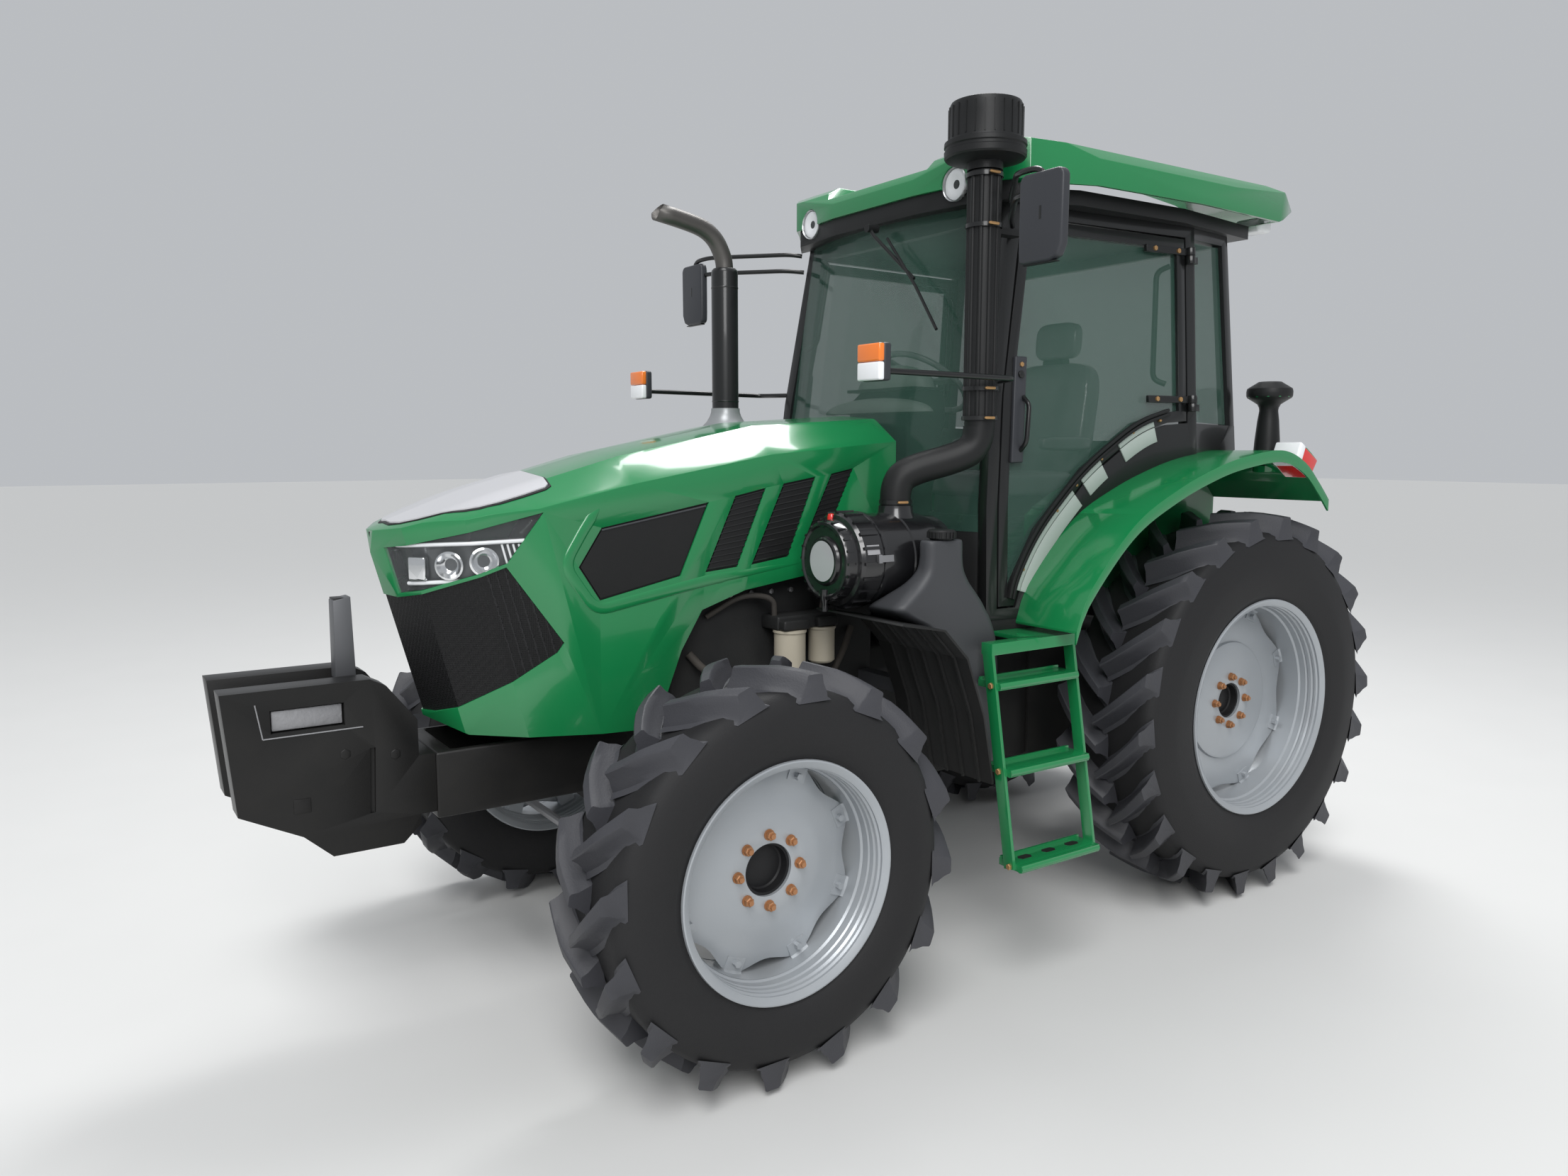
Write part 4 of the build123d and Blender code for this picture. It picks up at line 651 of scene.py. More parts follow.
def lug_shape(wheel):
    """Left-hand lug at the top of the wheel, apex towards +X."""
    half, radius = wheel["width"] / 2, wheel["z"]
    carcass = radius - wheel["lug_height"]
    tip = half - 0.012
    sweep = tip * tan(LUG_ANGLE)
    reach = sweep / 2 + LUG_HALF / cos(LUG_ANGLE)
    stations = [-0.008, 0.012, 0.04, half * 0.45, half * 0.62, half * 0.78, tip - 0.02, tip - 0.004, tip]
    vertices, faces = [], []
    for y in stations:
        along = (y + 0.008) / (tip + 0.008)
        x = sweep / 2 - y * tan(LUG_ANGLE) + 0.012 * sin(pi * along)
        top = radius - (radius - (radius ** 2 - reach ** 2) ** 0.5) * max(0, 1 - 2 * along)
        top -= SHOULDER_DROP * max(0, 2 * along - 1) ** 1.5
        out = max(0, y - (half - 0.06)) / 0.06
        base = carcass - 0.006 - 0.045 * out ** 2
        crown = LUG_HALF + 0.006 * along
        flank = crown + 0.005
        flare = 0.026 * (1 - 0.4 * out)
        height = top - base
        section = [(-flank - flare, 0), (-flank - flare * 0.45, 0.10 * height),
                   (-flank - 0.006, 0.32 * height),
                   (-flank + 0.002, 0.62 * height), (-crown, height - 0.004), (-crown + 0.004, height)]
        section += [(-u, h) for u, h in reversed(section)]
        for u, h in section:
            vertices.append((x + u / cos(LUG_ANGLE), y, base + h))
    ring = 12
    for index in range(len(stations) - 1):
        for step in range(ring - 1):
            a = index * ring + step
            faces.append((a, a + 1, a + 1 + ring, a + ring))
    faces.append(tuple(range(ring)))
    faces.append(tuple(range(len(vertices) - ring, len(vertices))))
    return vertices, faces

# %% [markdown]
# ## Whole tyre
#
# Carcass and both rows of lugs in one piece that stands in for the CAD tyre.

# %%
def make_tyre(name, wheel, side):
    # The carcass takes the darker rubber, which is painted shade, and the lugs the lighter one, which is
    # painted light.
    carcass = plain_mesh(name + "_carcass", turned(tyre_profile(wheel), WHEEL_STEPS), "tyre_side")
    lug = lug_shape(wheel)
    left = ring_of(name + "_lugs", lug, wheel["lugs"], 0.0, "tyre_lug", 40)
    right = ring_of(name + "_lugs_in", mirrored(lug), wheel["lugs"], 0.5, "tyre_lug", 40)
    place = (wheel["x"], side * wheel["y"], wheel["z"])
    label = "left" if side > 0 else "right"
    piece = merged_piece(f"{name}_{label}_full", [carcass, left, right], place, f"wheel_{name[5:]}_{label}",
                         mirror_y=side < 0)
    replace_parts(piece, f"{name}_{label}")
    return piece

# %% [markdown]
# ## Rims
#
# The barrel is one turned profile with a rolled flange, a ledge and a well. The disc is dished, its
# edge waved between the welded clamps, and eight rusty bolts hold it round the dark hub.

# %%
def rim_barrel(wheel):
    rim, half = wheel["rim"], wheel["rim_width"] / 2
    seat, wall = rim - 0.024, 0.008
    outer = [(half - 0.004, rim - 0.001), (half - 0.008, rim), (half - 0.009, rim - 0.008),
             (half - 0.010, seat + 0.003),
             (half - 0.016, seat), (half - 0.05, seat - 0.002), (half - 0.06, seat - 0.006),
             (0.06, seat - 0.010)]
    inner = [(0.06, seat - wall - 0.012), (half - 0.100, seat - wall - 0.011),
             (half - 0.094, seat - wall - 0.004),
             (half - 0.070, seat - wall - 0.003), (half - 0.064, seat - wall + 0.003),
             (half - 0.058, seat - wall - 0.002),
             (half - 0.046, seat - wall - 0.001), (half - 0.040, seat - wall + 0.005),
             (half - 0.034, seat - wall),
             (half - 0.026, seat - wall + 0.001), (half - 0.021, seat - wall + 0.007),
             (half - 0.012, seat - wall + 0.006),
             (half - 0.004, rim - 0.014), (half, rim - 0.006), (half - 0.001, rim - 0.002),
             (half - 0.004, rim - 0.001)]
    far_outer = [(-y, r) for y, r in reversed(outer)]
    far_inner = [(-y, r) for y, r in reversed(inner)]
    profile = outer + far_outer + far_inner + inner
    return turned(profile, WHEEL_STEPS)


def disc(wheel, steps=WHEEL_STEPS):
    """Dished disc with its waved edge."""
    seat, face, bore, circle = wheel["rim"] - 0.024, wheel["face"], wheel["bore"], wheel["bolt_circle"]
    edge = seat - 0.009
    shallow = edge - 0.028
    vertices, faces = [], []
    rows = 8 + len(wheel["dish"])
    for step in range(steps):
        a = 2 * pi * step / steps
        wave = 0.5 - 0.5 * cos(WHEEL_BOLTS * a)
        rim_edge = shallow - 0.016 * (1 - wave) ** 0.7 + 0.02 * wave
        row = [(face - 0.012, bore), (face - 0.001, bore), (face, bore + 0.002), (face, circle + 0.026),
               (face - 0.003, circle + 0.036)] + wheel["dish"]
        row += [(face - 0.018, rim_edge - 0.012), (face - 0.021, rim_edge), (face - 0.030, rim_edge - 0.002)]
        vertices += [(r * sin(a), y, r * cos(a)) for y, r in row]
    for step in range(steps):
        here, there = step * rows, (step + 1) % steps * rows
        faces += [(here + i, here + i + 1, there + i + 1, there + i) for i in range(rows - 1)]
    return vertices, faces

# %% [markdown]
# ## Clamps, bolts and hub
#
# The disc is bolted to the hub and held in the barrel by welded clamps.

# %%
def clamp(wheel):
    """Welded bracket between disc and barrel, at the top of the wheel."""
    edge, face = wheel["rim"] - 0.033, wheel["face"]
    outline = [(face - 0.055, edge - 0.062), (face - 0.012, edge - 0.058), (face - 0.014, edge - 0.018),
               (face + 0.004, edge + 0.001), (face - 0.075, edge + 0.001)]
    shape = plate(outline, 0.064, lambda a, b, c: (c - 0.032, a, b))
    bolt = tube([(0, face - 0.02, edge - 0.042), (0, face + 0.004, edge - 0.042)], 0.011, 6)
    return joined(shape, bolt)


def wheel_bolt(wheel):
    face, circle = wheel["face"], wheel["bolt_circle"]
    washer = tube([(0, face, circle), (0, face + 0.004, circle)], 0.017, 16)
    nut = tube([(0, face + 0.004, circle), (0, face + 0.018, circle), (0, face + 0.020, circle)],
               [0.0145, 0.0145, 0.012], 6)
    stud = tube([(0, face + 0.018, circle), (0, face + 0.027, circle)], 0.008, 12)
    return joined(washer, nut, stud)


def hub(wheel):
    """Dark hub behind the disc, with a shallow cover inside its bore."""
    face, bore = wheel["face"] - 0.012, wheel["bore"]
    profile = [(face - 0.110, 0.044), (face - 0.058, 0.046), (face - 0.058, bore + 0.058),
               (face, bore + 0.056),
               (face, bore - 0.008), (face - 0.026, bore - 0.011), (face - 0.030, bore - 0.016),
               (face - 0.024, 0.02),
               (face - 0.024, 0.0004)]
    return turned(profile, 48)


def make_rim(name, wheel, side):
    meshes = [plain_mesh(name + "_barrel", rim_barrel(wheel), "rim_silver", 25),
              plain_mesh(name + "_disc", disc(wheel), "rim_silver", 40),
              plain_mesh(name + "_hub", hub(wheel), "cast_black"),
              ring_of(name + "_clamps", clamp(wheel), WHEEL_BOLTS, 0.5, "rim_silver"),
              ring_of(name + "_bolts", wheel_bolt(wheel), WHEEL_BOLTS, 0.0, "rusty_bolt")]
    place = (wheel["x"], side * wheel["y"], wheel["z"])
    label = "left" if side > 0 else "right"
    piece = merged_piece(f"{name}_{label}_full", meshes, place, f"wheel_{name[4:]}_{label}",
                         mirror_y=side < 0)
    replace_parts(piece, f"{name}_{label}")
    return piece


for end, wheel in (("front", FRONT), ("rear", REAR)):
    for side in (1, -1):
        make_tyre("tyre_" + end, wheel, side)
        make_rim("rim_" + end, wheel, side)
print("wheels made")

# %% [markdown]
# ## Softened CAD pieces
#
# Painted sheet, castings and mouldings are the CAD pieces themselves with their edges rounded.
# The table gives each piece its material, the width of its rounding and the steps in it.

# %%
# node, material, width of the rounding, steps
SOFTENED = (("roof", "green_paint", 0.011, 3),
            ("roof_lining", "black_plastic", 0.004, 2), ("cab_frame", "black_paint", 0.005, 2),
            ("cab_floor", "black_plastic", 0.004, 2),
            ("door_left", "black_paint", 0.003, 2), ("door_right", "black_paint", 0.003, 2),
            ("front_ballast", "ballast_black", 0.006, 2),
            ("battery_box", "tank_plastic", 0.012, 3),
            ("mudguard_left", "black_plastic", 0.002, 2), ("mudguard_right", "black_plastic", 0.002, 2),
            ("front_axle", "cast_grey", 0.008, 2), ("knuckle_left", "cast_grey", 0.004, 2),
            ("knuckle_right", "cast_grey", 0.004, 2), ("engine", "cast_grey", 0.012, 2),
            ("gearbox", "cast_grey", 0.012, 2), ("rear_housing", "cast_grey", 0.005, 2),
            ("front_frame", "ballast_black", 0.008, 2), ("hood_support", "black_paint", 0.003, 2),
            ("lower_links", "black_paint", 0.003, 2), ("lift_arm_left", "black_paint", 0.003, 2),
            ("lift_arm_right", "black_paint", 0.003, 2), ("lift_rod_left", "black_paint", 0.002, 2),
            ("lift_rod_right", "black_paint", 0.002, 2))


for node, material, width, steps in SOFTENED:
    softened(node, material, width, steps)
softened("hood", "green_paint", 0.0045, 2)
print("softened:", len(SOFTENED))

# %% [markdown]
# ## Hood
#
# The crest of the hood is one function of (x, y), shared by the pale insert on the nose and its
# black gasket.

# %%
# Heights of the hood's crease, shoulder and middle at each x; the shoulder stands at half the width
CREST = ((0.110, 1.872, 1.958, 1.972), (0.660, 1.826, 1.926, 1.940), (1.180, 1.736, 1.822, 1.838),
         (1.640, 1.637, 1.694, 1.712), (1.925, 1.560, 1.590, 1.602))
HOOD_HALF, SHOULDER_Y, NOSE_RAKE = 0.330, 0.200, 0.264
# Plan of the hood at z = 1.53: x and half width
HOOD_PLAN = ((1.470, 0.330), (1.690, 0.277), (1.850, 0.158), (1.925, 0.0))


def between(table, x, column):
    """Value of a column at x, on straight lines through a table's rows."""
    for low, high in zip(table, table[1:]):
        if x <= high[0]:
            share = (x - low[0]) / (high[0] - low[0])
            return low[column] + share * (high[column] - low[column])
    return table[-1][column]


def crest(x, y):
    crease, shoulder, middle = (between(CREST, x, column) for column in (1, 2, 3))
    y = abs(y)
    if y < SHOULDER_Y:
        return middle + (shoulder - middle) * y / SHOULDER_Y
    return shoulder + (crease - shoulder) * (y - SHOULDER_Y) / (HOOD_HALF - SHOULDER_Y)

# %% [markdown]
# ## Insert on the nose
#
# A pale moulded insert lies on the crest in a thin black gasket. Both are sheets between rows of
# places, so they follow the crest whatever its shape.

# %%
def crest_patch(name, material, rows, lift, wall):
    """Sheet that lies on the hood's crest between rows of (x, half width)."""
    columns = 28
    vertices, faces = [], []
    for level in (lift, lift - wall):
        for x, half in rows:
            for step in range(columns + 1):
                y = half * (2 * step / columns - 1)
                vertices.append((x, y, crest(x, y) + level))
    count = len(rows) * (columns + 1)
    for row in range(len(rows) - 1):
        for step in range(columns):
            a = row * (columns + 1) + step
            b = a + columns + 1
            faces += [(a, a + 1, b + 1, b), (count + a, count + b, count + b + 1, count + a + 1)]
    edge = list(range(columns + 1)) + [row * (columns + 1) + columns for row in range(1, len(rows))]
    edge += [(len(rows) - 1) * (columns + 1) + step for step in range(columns - 1, -1, -1)]
    edge += [row * (columns + 1) for row in range(len(rows) - 2, 0, -1)]
    faces += [(a, b, b + count, a + count) for a, b in zip(edge, edge[1:] + edge[:1])]
    return add_piece(name, vertices, faces, material, "hood", 40)


def insert_rows(grow):
    return [(1.437 - grow, 0.236 + grow), (1.450, 0.246 + grow), (1.520, 0.250 + grow), (1.600, 0.251 + grow),
            (1.660, 0.243 + grow), (1.700, 0.227 + grow), (1.760, 0.187 + grow), (1.820, 0.142 + grow),
            (1.860, 0.098 + grow), (1.875 + grow, 0.050 + grow)]


crest_patch("nose_gasket", "black_plastic", insert_rows(0.008), 0.0035, 0.006)
crest_patch("nose_insert", "silver_paint", insert_rows(0.0), 0.0075, 0.006)

# %% [markdown]
# ## Headlamps
#
# Behind each clear lens lie a dark tray, two round reflectors, a square one, bright strips and ribs.
# All of them are placed by one function that walks along the nose.

# %%
def nose_point(t, z, out=0.0):
    """Point on the nose's left skin: t runs from the side (0) to the middle (1), at height z."""
    lengths = [0.0]
    for a, b in zip(HOOD_PLAN, HOOD_PLAN[1:]):
        lengths.append(lengths[-1] + ((b[0] - a[0]) ** 2 + (b[1] - a[1]) ** 2) ** 0.5)
    along = t * lengths[-1]
    for (a, b), low, high in zip(zip(HOOD_PLAN, HOOD_PLAN[1:]), lengths, lengths[1:]):
        if along <= high or b is HOOD_PLAN[-1]:
            share = min(1.0, (along - low) / (high - low))
            x, y = a[0] + share * (b[0] - a[0]), a[1] + share * (b[1] - a[1])
            normal = Vector((a[1] - b[1], b[0] - a[0], 0)).normalized()
            break
    return Vector((x - (1.53 - z) * NOSE_RAKE, y, z)) + normal * out


for side, label in SIDES:
    softened(f"headlamp_{label}", "clear_lens", 0.003, 2)

bowls = []
for t, z, radius in ((0.34, 1.508, 0.038), (0.53, 1.496, 0.038)):
    centre = nose_point(t, z, -0.020)
    ahead = (nose_point(t, z, 0.02) - centre).normalized()
    ring = [(0.012, radius + 0.006), (0.014, radius), (0.004, radius * 0.8), (-0.010, radius * 0.45),
            (-0.012, 0.0005)]
    turned_shape = turned(ring, 24)
    rotation = Vector((0, 1, 0)).rotation_difference(ahead).to_matrix().to_4x4()
    bowls.append(moved(turned_shape, Matrix.Translation(centre) @ rotation))
tray, strips = [], []
rows = 12
for index in range(rows + 1):
    t = 0.08 + 0.74 * index / rows
    low, high = 1.462 - 0.055 * t, 1.585 - 0.035 * t
    for z, out in ((low, -0.006), (low + 0.012, -0.026), (high - 0.02, -0.03), (high, -0.008)):
        tray.append(nose_point(t, z, out))
faces = [(4 * i + j, 4 * i + j + 1, 4 * i + j + 5, 4 * i + j + 4) for i in range(rows) for j in range(3)]
for z0, z1, start, end in ((1.572, 1.553, 0.10, 0.80), (1.466, 1.432, 0.24, 0.80)):
    steps = [start + (end - start) * step / 10 for step in range(11)]
    strips.append(tube([nose_point(t, z0 + (z1 - z0) * t, -0.010) for t in steps], 0.0065, 8))
for step in range(6):
    t = 0.09 + 0.028 * step
    strips.append(tube([nose_point(t, 1.478 + 0.2 * (0.2 - t), -0.012), nose_point(t, 1.560, -0.012)],
                       0.0035, 6))
square = moved(box((-0.030, 0.030), (-0.020, 0.004), (-0.036, 0.036)),
               Matrix.Translation(nose_point(0.71, 1.487, -0.012))
               @ Matrix.Rotation(radians(-52), 4, "Z"))
for part, shape, material, rounding in (("tray", (tray, faces), "lamp_dark", 0.0),
                                        ("bowls", joined(*bowls), "chrome", 0.0),
                                        ("strips", joined(*strips), "lamp_white", 0.0),
                                        ("projector", square, "chrome", 0.006)):
    both_sides(f"lamp_{part}", shape, material, "hood", 50, rounding, 3)
print("hood trim made")

# %% [markdown]
# ## Vents and louvres
#
# Each louvre is a slanted opening crossed by fine slats, and a pressed ridge runs round the front of
# the vents. The slats are thin bars between the slanted edges, so they follow the opening. The grille
# keeps its CAD shape and gets its net from its material alone.

# %%
def vent_slats(corners, count, y):
    """Slanted slats across a four-cornered opening, given as (x, z) from its upper front corner round."""
    (x0, z0), (x1, z1), (x2, z2), (x3, z3) = corners
    shapes = []
    for index in range(count):
        share = (index + 0.5) / count
        a = (x0 + share * (x3 - x0), z0 + share * (z3 - z0))
        b = (x1 + share * (x2 - x1), z1 + share * (z2 - z1))
        shapes.append(tube([(a[0], y, a[1]), (b[0], y, b[1])], 0.0032, 6))
    return shapes


# Corners of each louvre, as (x, z)
LOUVRES = (((0.684, 1.713), (0.807, 1.688), (0.926, 1.436), (0.801, 1.447)),
           ((0.475, 1.748), (0.611, 1.726), (0.744, 1.451), (0.591, 1.471)),
           ((0.308, 1.776), (0.406, 1.757), (0.520, 1.530), (0.420, 1.545)))
# Ridge pressed round the front of the vents
VENT_RIDGE = ((1.300, 1.665), (1.345, 1.620), (1.428, 1.488), (1.325, 1.338), (0.899, 1.412), (0.480, 1.452))
RIDGE_WIDTH = [0.003, 0.012, 0.017] + [0.019] * 25 + [0.017, 0.003]

SLAT_Y, EDGE_Y, RIDGE_Y, RIDGE_FLATNESS = 0.3265, 0.3275, 0.3285, 0.32

shapes = []
for corners in LOUVRES:
    shapes += vent_slats(corners, 13, SLAT_Y)
both_sides("slats", joined(*shapes), "black_paint", "hood")
both_sides("vent_edge", tube([(0.922, EDGE_Y, 1.657), (1.299, EDGE_Y, 1.592)], 0.0035, 8), "tank_plastic",
           "hood", 60)
ridge = tube(rounded_path([(x, 0.0, z) for x, z in VENT_RIDGE], 0.05), RIDGE_WIDTH, 16)
flatten = Matrix.Translation((0, RIDGE_Y, 0)) @ Matrix.Diagonal((1, RIDGE_FLATNESS, 1, 1))
both_sides("vent_ridge", moved(ridge, flatten), "green_paint", "hood", 60)
print("vents made")

# %% [markdown]
# ## Air intake and exhaust
#
# Both are smooth turned and bent pieces in place of their plain CAD solids. Pipes are held by a band
# with a screw, so one function makes both.

# %%
ALONG_X = Matrix.Rotation(-pi / 2, 4, "Z")
ALONG_Z = Matrix.Rotation(pi / 2, 4, "X")


def turned_at(profile, steps, place, direction=ALONG_Z):
    """Turned shape with its profile's first number along the given direction from a place."""
    return moved(turned(profile, steps), Matrix.Translation(place) @ direction)


def band_clamp(place, radius, width=0.014, direction=ALONG_Z):
    """Band round a pipe, and its screw."""
    ring = turned_at([(-width / 2, radius), (-width / 2, radius + 0.003), (width / 2, radius + 0.003),
                      (width / 2, radius), (-width / 2, radius)], 40, place, direction)
    centre = Vector(place) + Vector((0.02, radius + 0.008, 0))
    screw = tube([centre - Vector((0.022, 0, 0)), centre + Vector((0.016, 0, 0)),
                  centre + Vector((0.020, 0, 0))], [0.005, 0.005, 0.003], 10)
    return ring, screw

# %% [markdown]
# ## Air cleaner
#
# A drum that lies along the tractor: a turned body with ribs on its cap, latches round its joint,
# a drain valve below and a gauge on top.

# %%
CLEANER = (0.0, 0.560, 1.475)
cleaner = [(0.130, 0.0004), (0.130, 0.118), (0.134, 0.130), (0.150, 0.138), (0.205, 0.140), (0.210, 0.146),
           (0.222, 0.146), (0.227, 0.150), (0.330, 0.152), (0.334, 0.147), (0.342, 0.147), (0.346, 0.153),
           (0.452, 0.154), (0.455, 0.161), (0.470, 0.162), (0.473, 0.157), (0.480, 0.157), (0.483, 0.162),
           (0.550, 0.160), (0.562, 0.152), (0.566, 0.138), (0.598, 0.134), (0.607, 0.128), (0.609, 0.120),
           (0.604, 0.114), (0.600, 0.084), (0.608, 0.080), (0.6115, 0.074), (0.6115, 0.0004)]
CAP_RIB = joined(box((0.5655, 0.604), (-0.004, 0.004), (0.108, 0.137)),
                 box((0.484, 0.556), (-0.005, 0.005), (0.155, 0.166)))
ribs = [moved(CAP_RIB,
              Matrix.Translation(CLEANER) @ Matrix.Rotation(2 * pi * step / 20, 4,
                                                            "X")) for step in range(20)]
outlet = turned_at([(1.605, 0.070), (1.612, 0.070), (1.630, 0.062), (1.652, 0.060), (1.652, 0.050)], 40,
                   (0.300, 0.560, 0.0))
latches = []
for angle in (35, 155, 275):
    latch = joined(box((0.440, 0.500), (-0.011, 0.011), (0.160, 0.167)),
                   box((0.492, 0.506), (-0.014, 0.014), (0.158, 0.172)))
    latches.append(moved(latch, Matrix.Translation(CLEANER) @ Matrix.Rotation(radians(angle), 4, "X")))
valve = turned_at([(1.310, 0.002), (1.306, 0.012), (1.330, 0.010), (1.352, 0.016), (1.380, 0.014)], 20,
                  (0.600, 0.560, 0.0))
strap = box((0.260, 0.330), (0.2355, 0.560), (1.340, 1.352))
piece = add_piece("air_cleaner_body",
                  *joined(turned_at(cleaner, 96, CLEANER, ALONG_X), outlet, valve, strap, *ribs),
                  "gloss_black", "chassis", 30)
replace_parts(piece, "air_cleaner")
add_piece("cleaner_latches", *joined(*latches), "steel", "chassis")
add_piece("cleaner_disc",
          *turned_at([(0.6116, 0.0004), (0.6116, 0.066), (0.6125, 0.068), (0.6125, 0.0004)], 48,
                                     CLEANER, ALONG_X), "silver_paint", "chassis")
plate_place = Matrix.Translation(CLEANER) @ Matrix.Rotation(radians(-74), 4, "X")
add_piece("cleaner_plate", *moved(box((0.493, 0.543), (-0.016, 0.016), (0.160, 0.1632)), plate_place),
          "lining", "chassis")
add_piece("cleaner_gauge", *turned_at([(1.600, 0.014), (1.622, 0.014), (1.630, 0.011), (1.632, 0.0004)], 24,
                                      (0.560, 0.541, 0.0)), "lamp_red", "chassis")

# %% [markdown]
# ## Intake pipe
#
# It bends from the cleaner to the cab post and climbs beside it. Flutes stiffen the riser.

# %%
# Place of the riser, and how far its flutes stand from its middle
PIPE_X, PIPE_Y, FLUTE = 0.045, 0.700, 0.050
route = rounded_path([(0.300, 0.560, 1.640), (0.300, 0.560, 1.715), (0.272, 0.573, 1.765),
                      (0.092, 0.674, 1.822),
                      (0.052, 0.695, 1.862), (PIPE_X, PIPE_Y, 1.925), (PIPE_X, PIPE_Y, 2.765)], 0.085, 9)
elbow = [point for point in route if point.z < 1.93]
riser = [(PIPE_X, PIPE_Y, 1.918), (PIPE_X, PIPE_Y, 2.30), (PIPE_X, PIPE_Y, 2.768)]
flutes = []
for step in range(10):
    a = 2 * pi * step / 10
    flutes.append(tube([(PIPE_X + FLUTE * cos(a), PIPE_Y + FLUTE * sin(a), 1.955),
                        (PIPE_X + FLUTE * cos(a), PIPE_Y + FLUTE * sin(a), 2.755)], 0.0085, 8))
arms = (box((-0.078, PIPE_X), (0.640, 0.675), (2.042, 2.064)),
        box((-0.165, PIPE_X), (0.625, 0.675), (2.582, 2.604)))
pipe = joined(tube(elbow, 0.0535, 40), tube(riser, 0.052, 40), *flutes, *arms)
piece = add_piece("intake_pipe_full", *pipe, "black_plastic", "chassis", 50)
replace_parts(piece, "intake_pipe")
clamps = [band_clamp((0.300, 0.560, 1.664), 0.0545), band_clamp((PIPE_X, PIPE_Y, 1.950), 0.0600),
          band_clamp((PIPE_X, PIPE_Y, 2.050), 0.0600), band_clamp((PIPE_X, PIPE_Y, 2.590), 0.0600),
          band_clamp((PIPE_X, PIPE_Y, 2.755), 0.0600)]
add_piece("intake_clamps", *joined(*[ring for ring, screw in clamps]), "black_paint", "chassis")
add_piece("clamp_screws", *joined(*[screw for ring, screw in clamps]), "plated_bolt", "chassis")

# %% [markdown]
# ## Precleaner
#
# A turned bowl with upright vanes, on top of the pipe.

# %%
bowl = [(2.7705, 0.048), (2.7705, 0.060), (2.796, 0.060), (2.800, 0.100), (2.806, 0.132), (2.812, 0.137),
        (2.830, 0.138), (2.834, 0.134), (2.842, 0.134), (2.846, 0.138), (2.860, 0.137), (2.864, 0.126),
        (2.870, 0.1235), (2.940, 0.1235), (2.975, 0.122), (2.986, 0.117), (2.990, 0.106), (2.991, 0.040),
        (3.000, 0.036), (3.000, 0.014), (3.008, 0.012), (3.0115, 0.006), (3.0118, 0.0004)]
vanes = []
for step in range(24):
    vane = moved(box((0.121, 0.1255), (-0.002, 0.002), (2.872, 2.972)),
                 Matrix.Rotation(2 * pi * step / 24, 4, "Z"))
    vanes.append(moved(vane, Matrix.Translation((PIPE_X, PIPE_Y, 0.0))))
piece = add_piece("precleaner_full", *joined(turned_at(bowl, 72, (PIPE_X, PIPE_Y, 0.0)), *vanes),
                  "black_plastic",
                  "chassis", 30)
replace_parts(piece, "precleaner")

# %% [markdown]
# ## Exhaust
#
# A black sleeve and a bent tip that is open and cut off aslant. It stands on the hood and moves with it.

# %%
STACK_X, STACK_Y = 0.562, -0.140
stack_route = rounded_path([(STACK_X, STACK_Y, 2.47), (STACK_X, STACK_Y, 2.530), (0.572, STACK_Y, 2.565),
                            (0.600, STACK_Y, 2.616), (0.650, STACK_Y, 2.652), (0.730, STACK_Y, 2.671),
                            (0.848, STACK_Y, 2.691)], 0.06, 7)
sleeve = turned_at([(1.880, 0.0500), (2.496, 0.0500), (2.506, 0.0485), (2.5135, 0.042), (2.5135, 0.030)], 48,
                   (STACK_X, STACK_Y, 0.0))
seams = [turned_at([(z, 0.0505), (z + 0.003, 0.0515), (z + 0.006, 0.0505)], 48, (STACK_X, STACK_Y, 0.0))
         for z in (2.02, 2.44)]
stack = add_piece("exhaust_sleeve", *joined(sleeve, *seams), "black_paint", "hood")
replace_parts(stack, "exhaust_stack")
tip_pipe = add_piece("exhaust_pipe", *tube(stack_route, 0.0325, 32, caps=False), "burnt_steel", "hood")
work = bmesh.new()
work.from_mesh(tip_pipe.data)
bmesh.ops.bisect_plane(work, geom=work.verts[:] + work.edges[:] + work.faces[:],
                       plane_co=(0.838, STACK_Y, 2.70),
                       plane_no=Vector((0.72, 0, 0.69)), clear_outer=True)
work.to_mesh(tip_pipe.data)
work.free()
wall = tip_pipe.modifiers.new("wall", "SOLIDIFY")
wall.thickness, wall.offset = 0.0025, -1.0
applied(tip_pipe)
collar = [(1.9035, 0.098), (1.912, 0.094), (1.935, 0.072), (1.955, 0.060), (1.972, 0.0545), (1.985, 0.054),
          (1.985, 0.051)]
add_piece("exhaust_collar", *turned_at(collar, 56, (STACK_X, STACK_Y, 0.012)), "collar_grey", "hood")
print("air intake and exhaust made")

# %% [markdown]
# ## Fuel tank
#
# A blown tank swells and narrows without an edge, so it is lofted through rounded sections taken on a
# smooth curve through a short table. Three shallow grooves run round its foot.

# %%
# Height, rear and front x, inner and outer y of each section of the tank
TANK = ((0.740, 0.022, 0.166, 0.490, 0.806), (0.752, 0.014, 0.172, 0.480, 0.815),
        (0.975, 0.014, 0.219, 0.480, 0.815),
        (1.120, 0.022, 0.268, 0.480, 0.815), (1.200, 0.034, 0.312, 0.484, 0.815),
        (1.262, 0.058, 0.376, 0.520, 0.815),
        (1.300, 0.082, 0.452, 0.585, 0.814), (1.328, 0.100, 0.486, 0.632, 0.813),
        (1.360, 0.126, 0.452, 0.668, 0.812),
        (1.400, 0.160, 0.402, 0.705, 0.811), (1.440, 0.187, 0.366, 0.727, 0.810),
        (1.480, 0.196, 0.356, 0.736, 0.809),
        (1.535, 0.198, 0.355, 0.738, 0.808), (1.545, 0.204, 0.349, 0.743, 0.803))


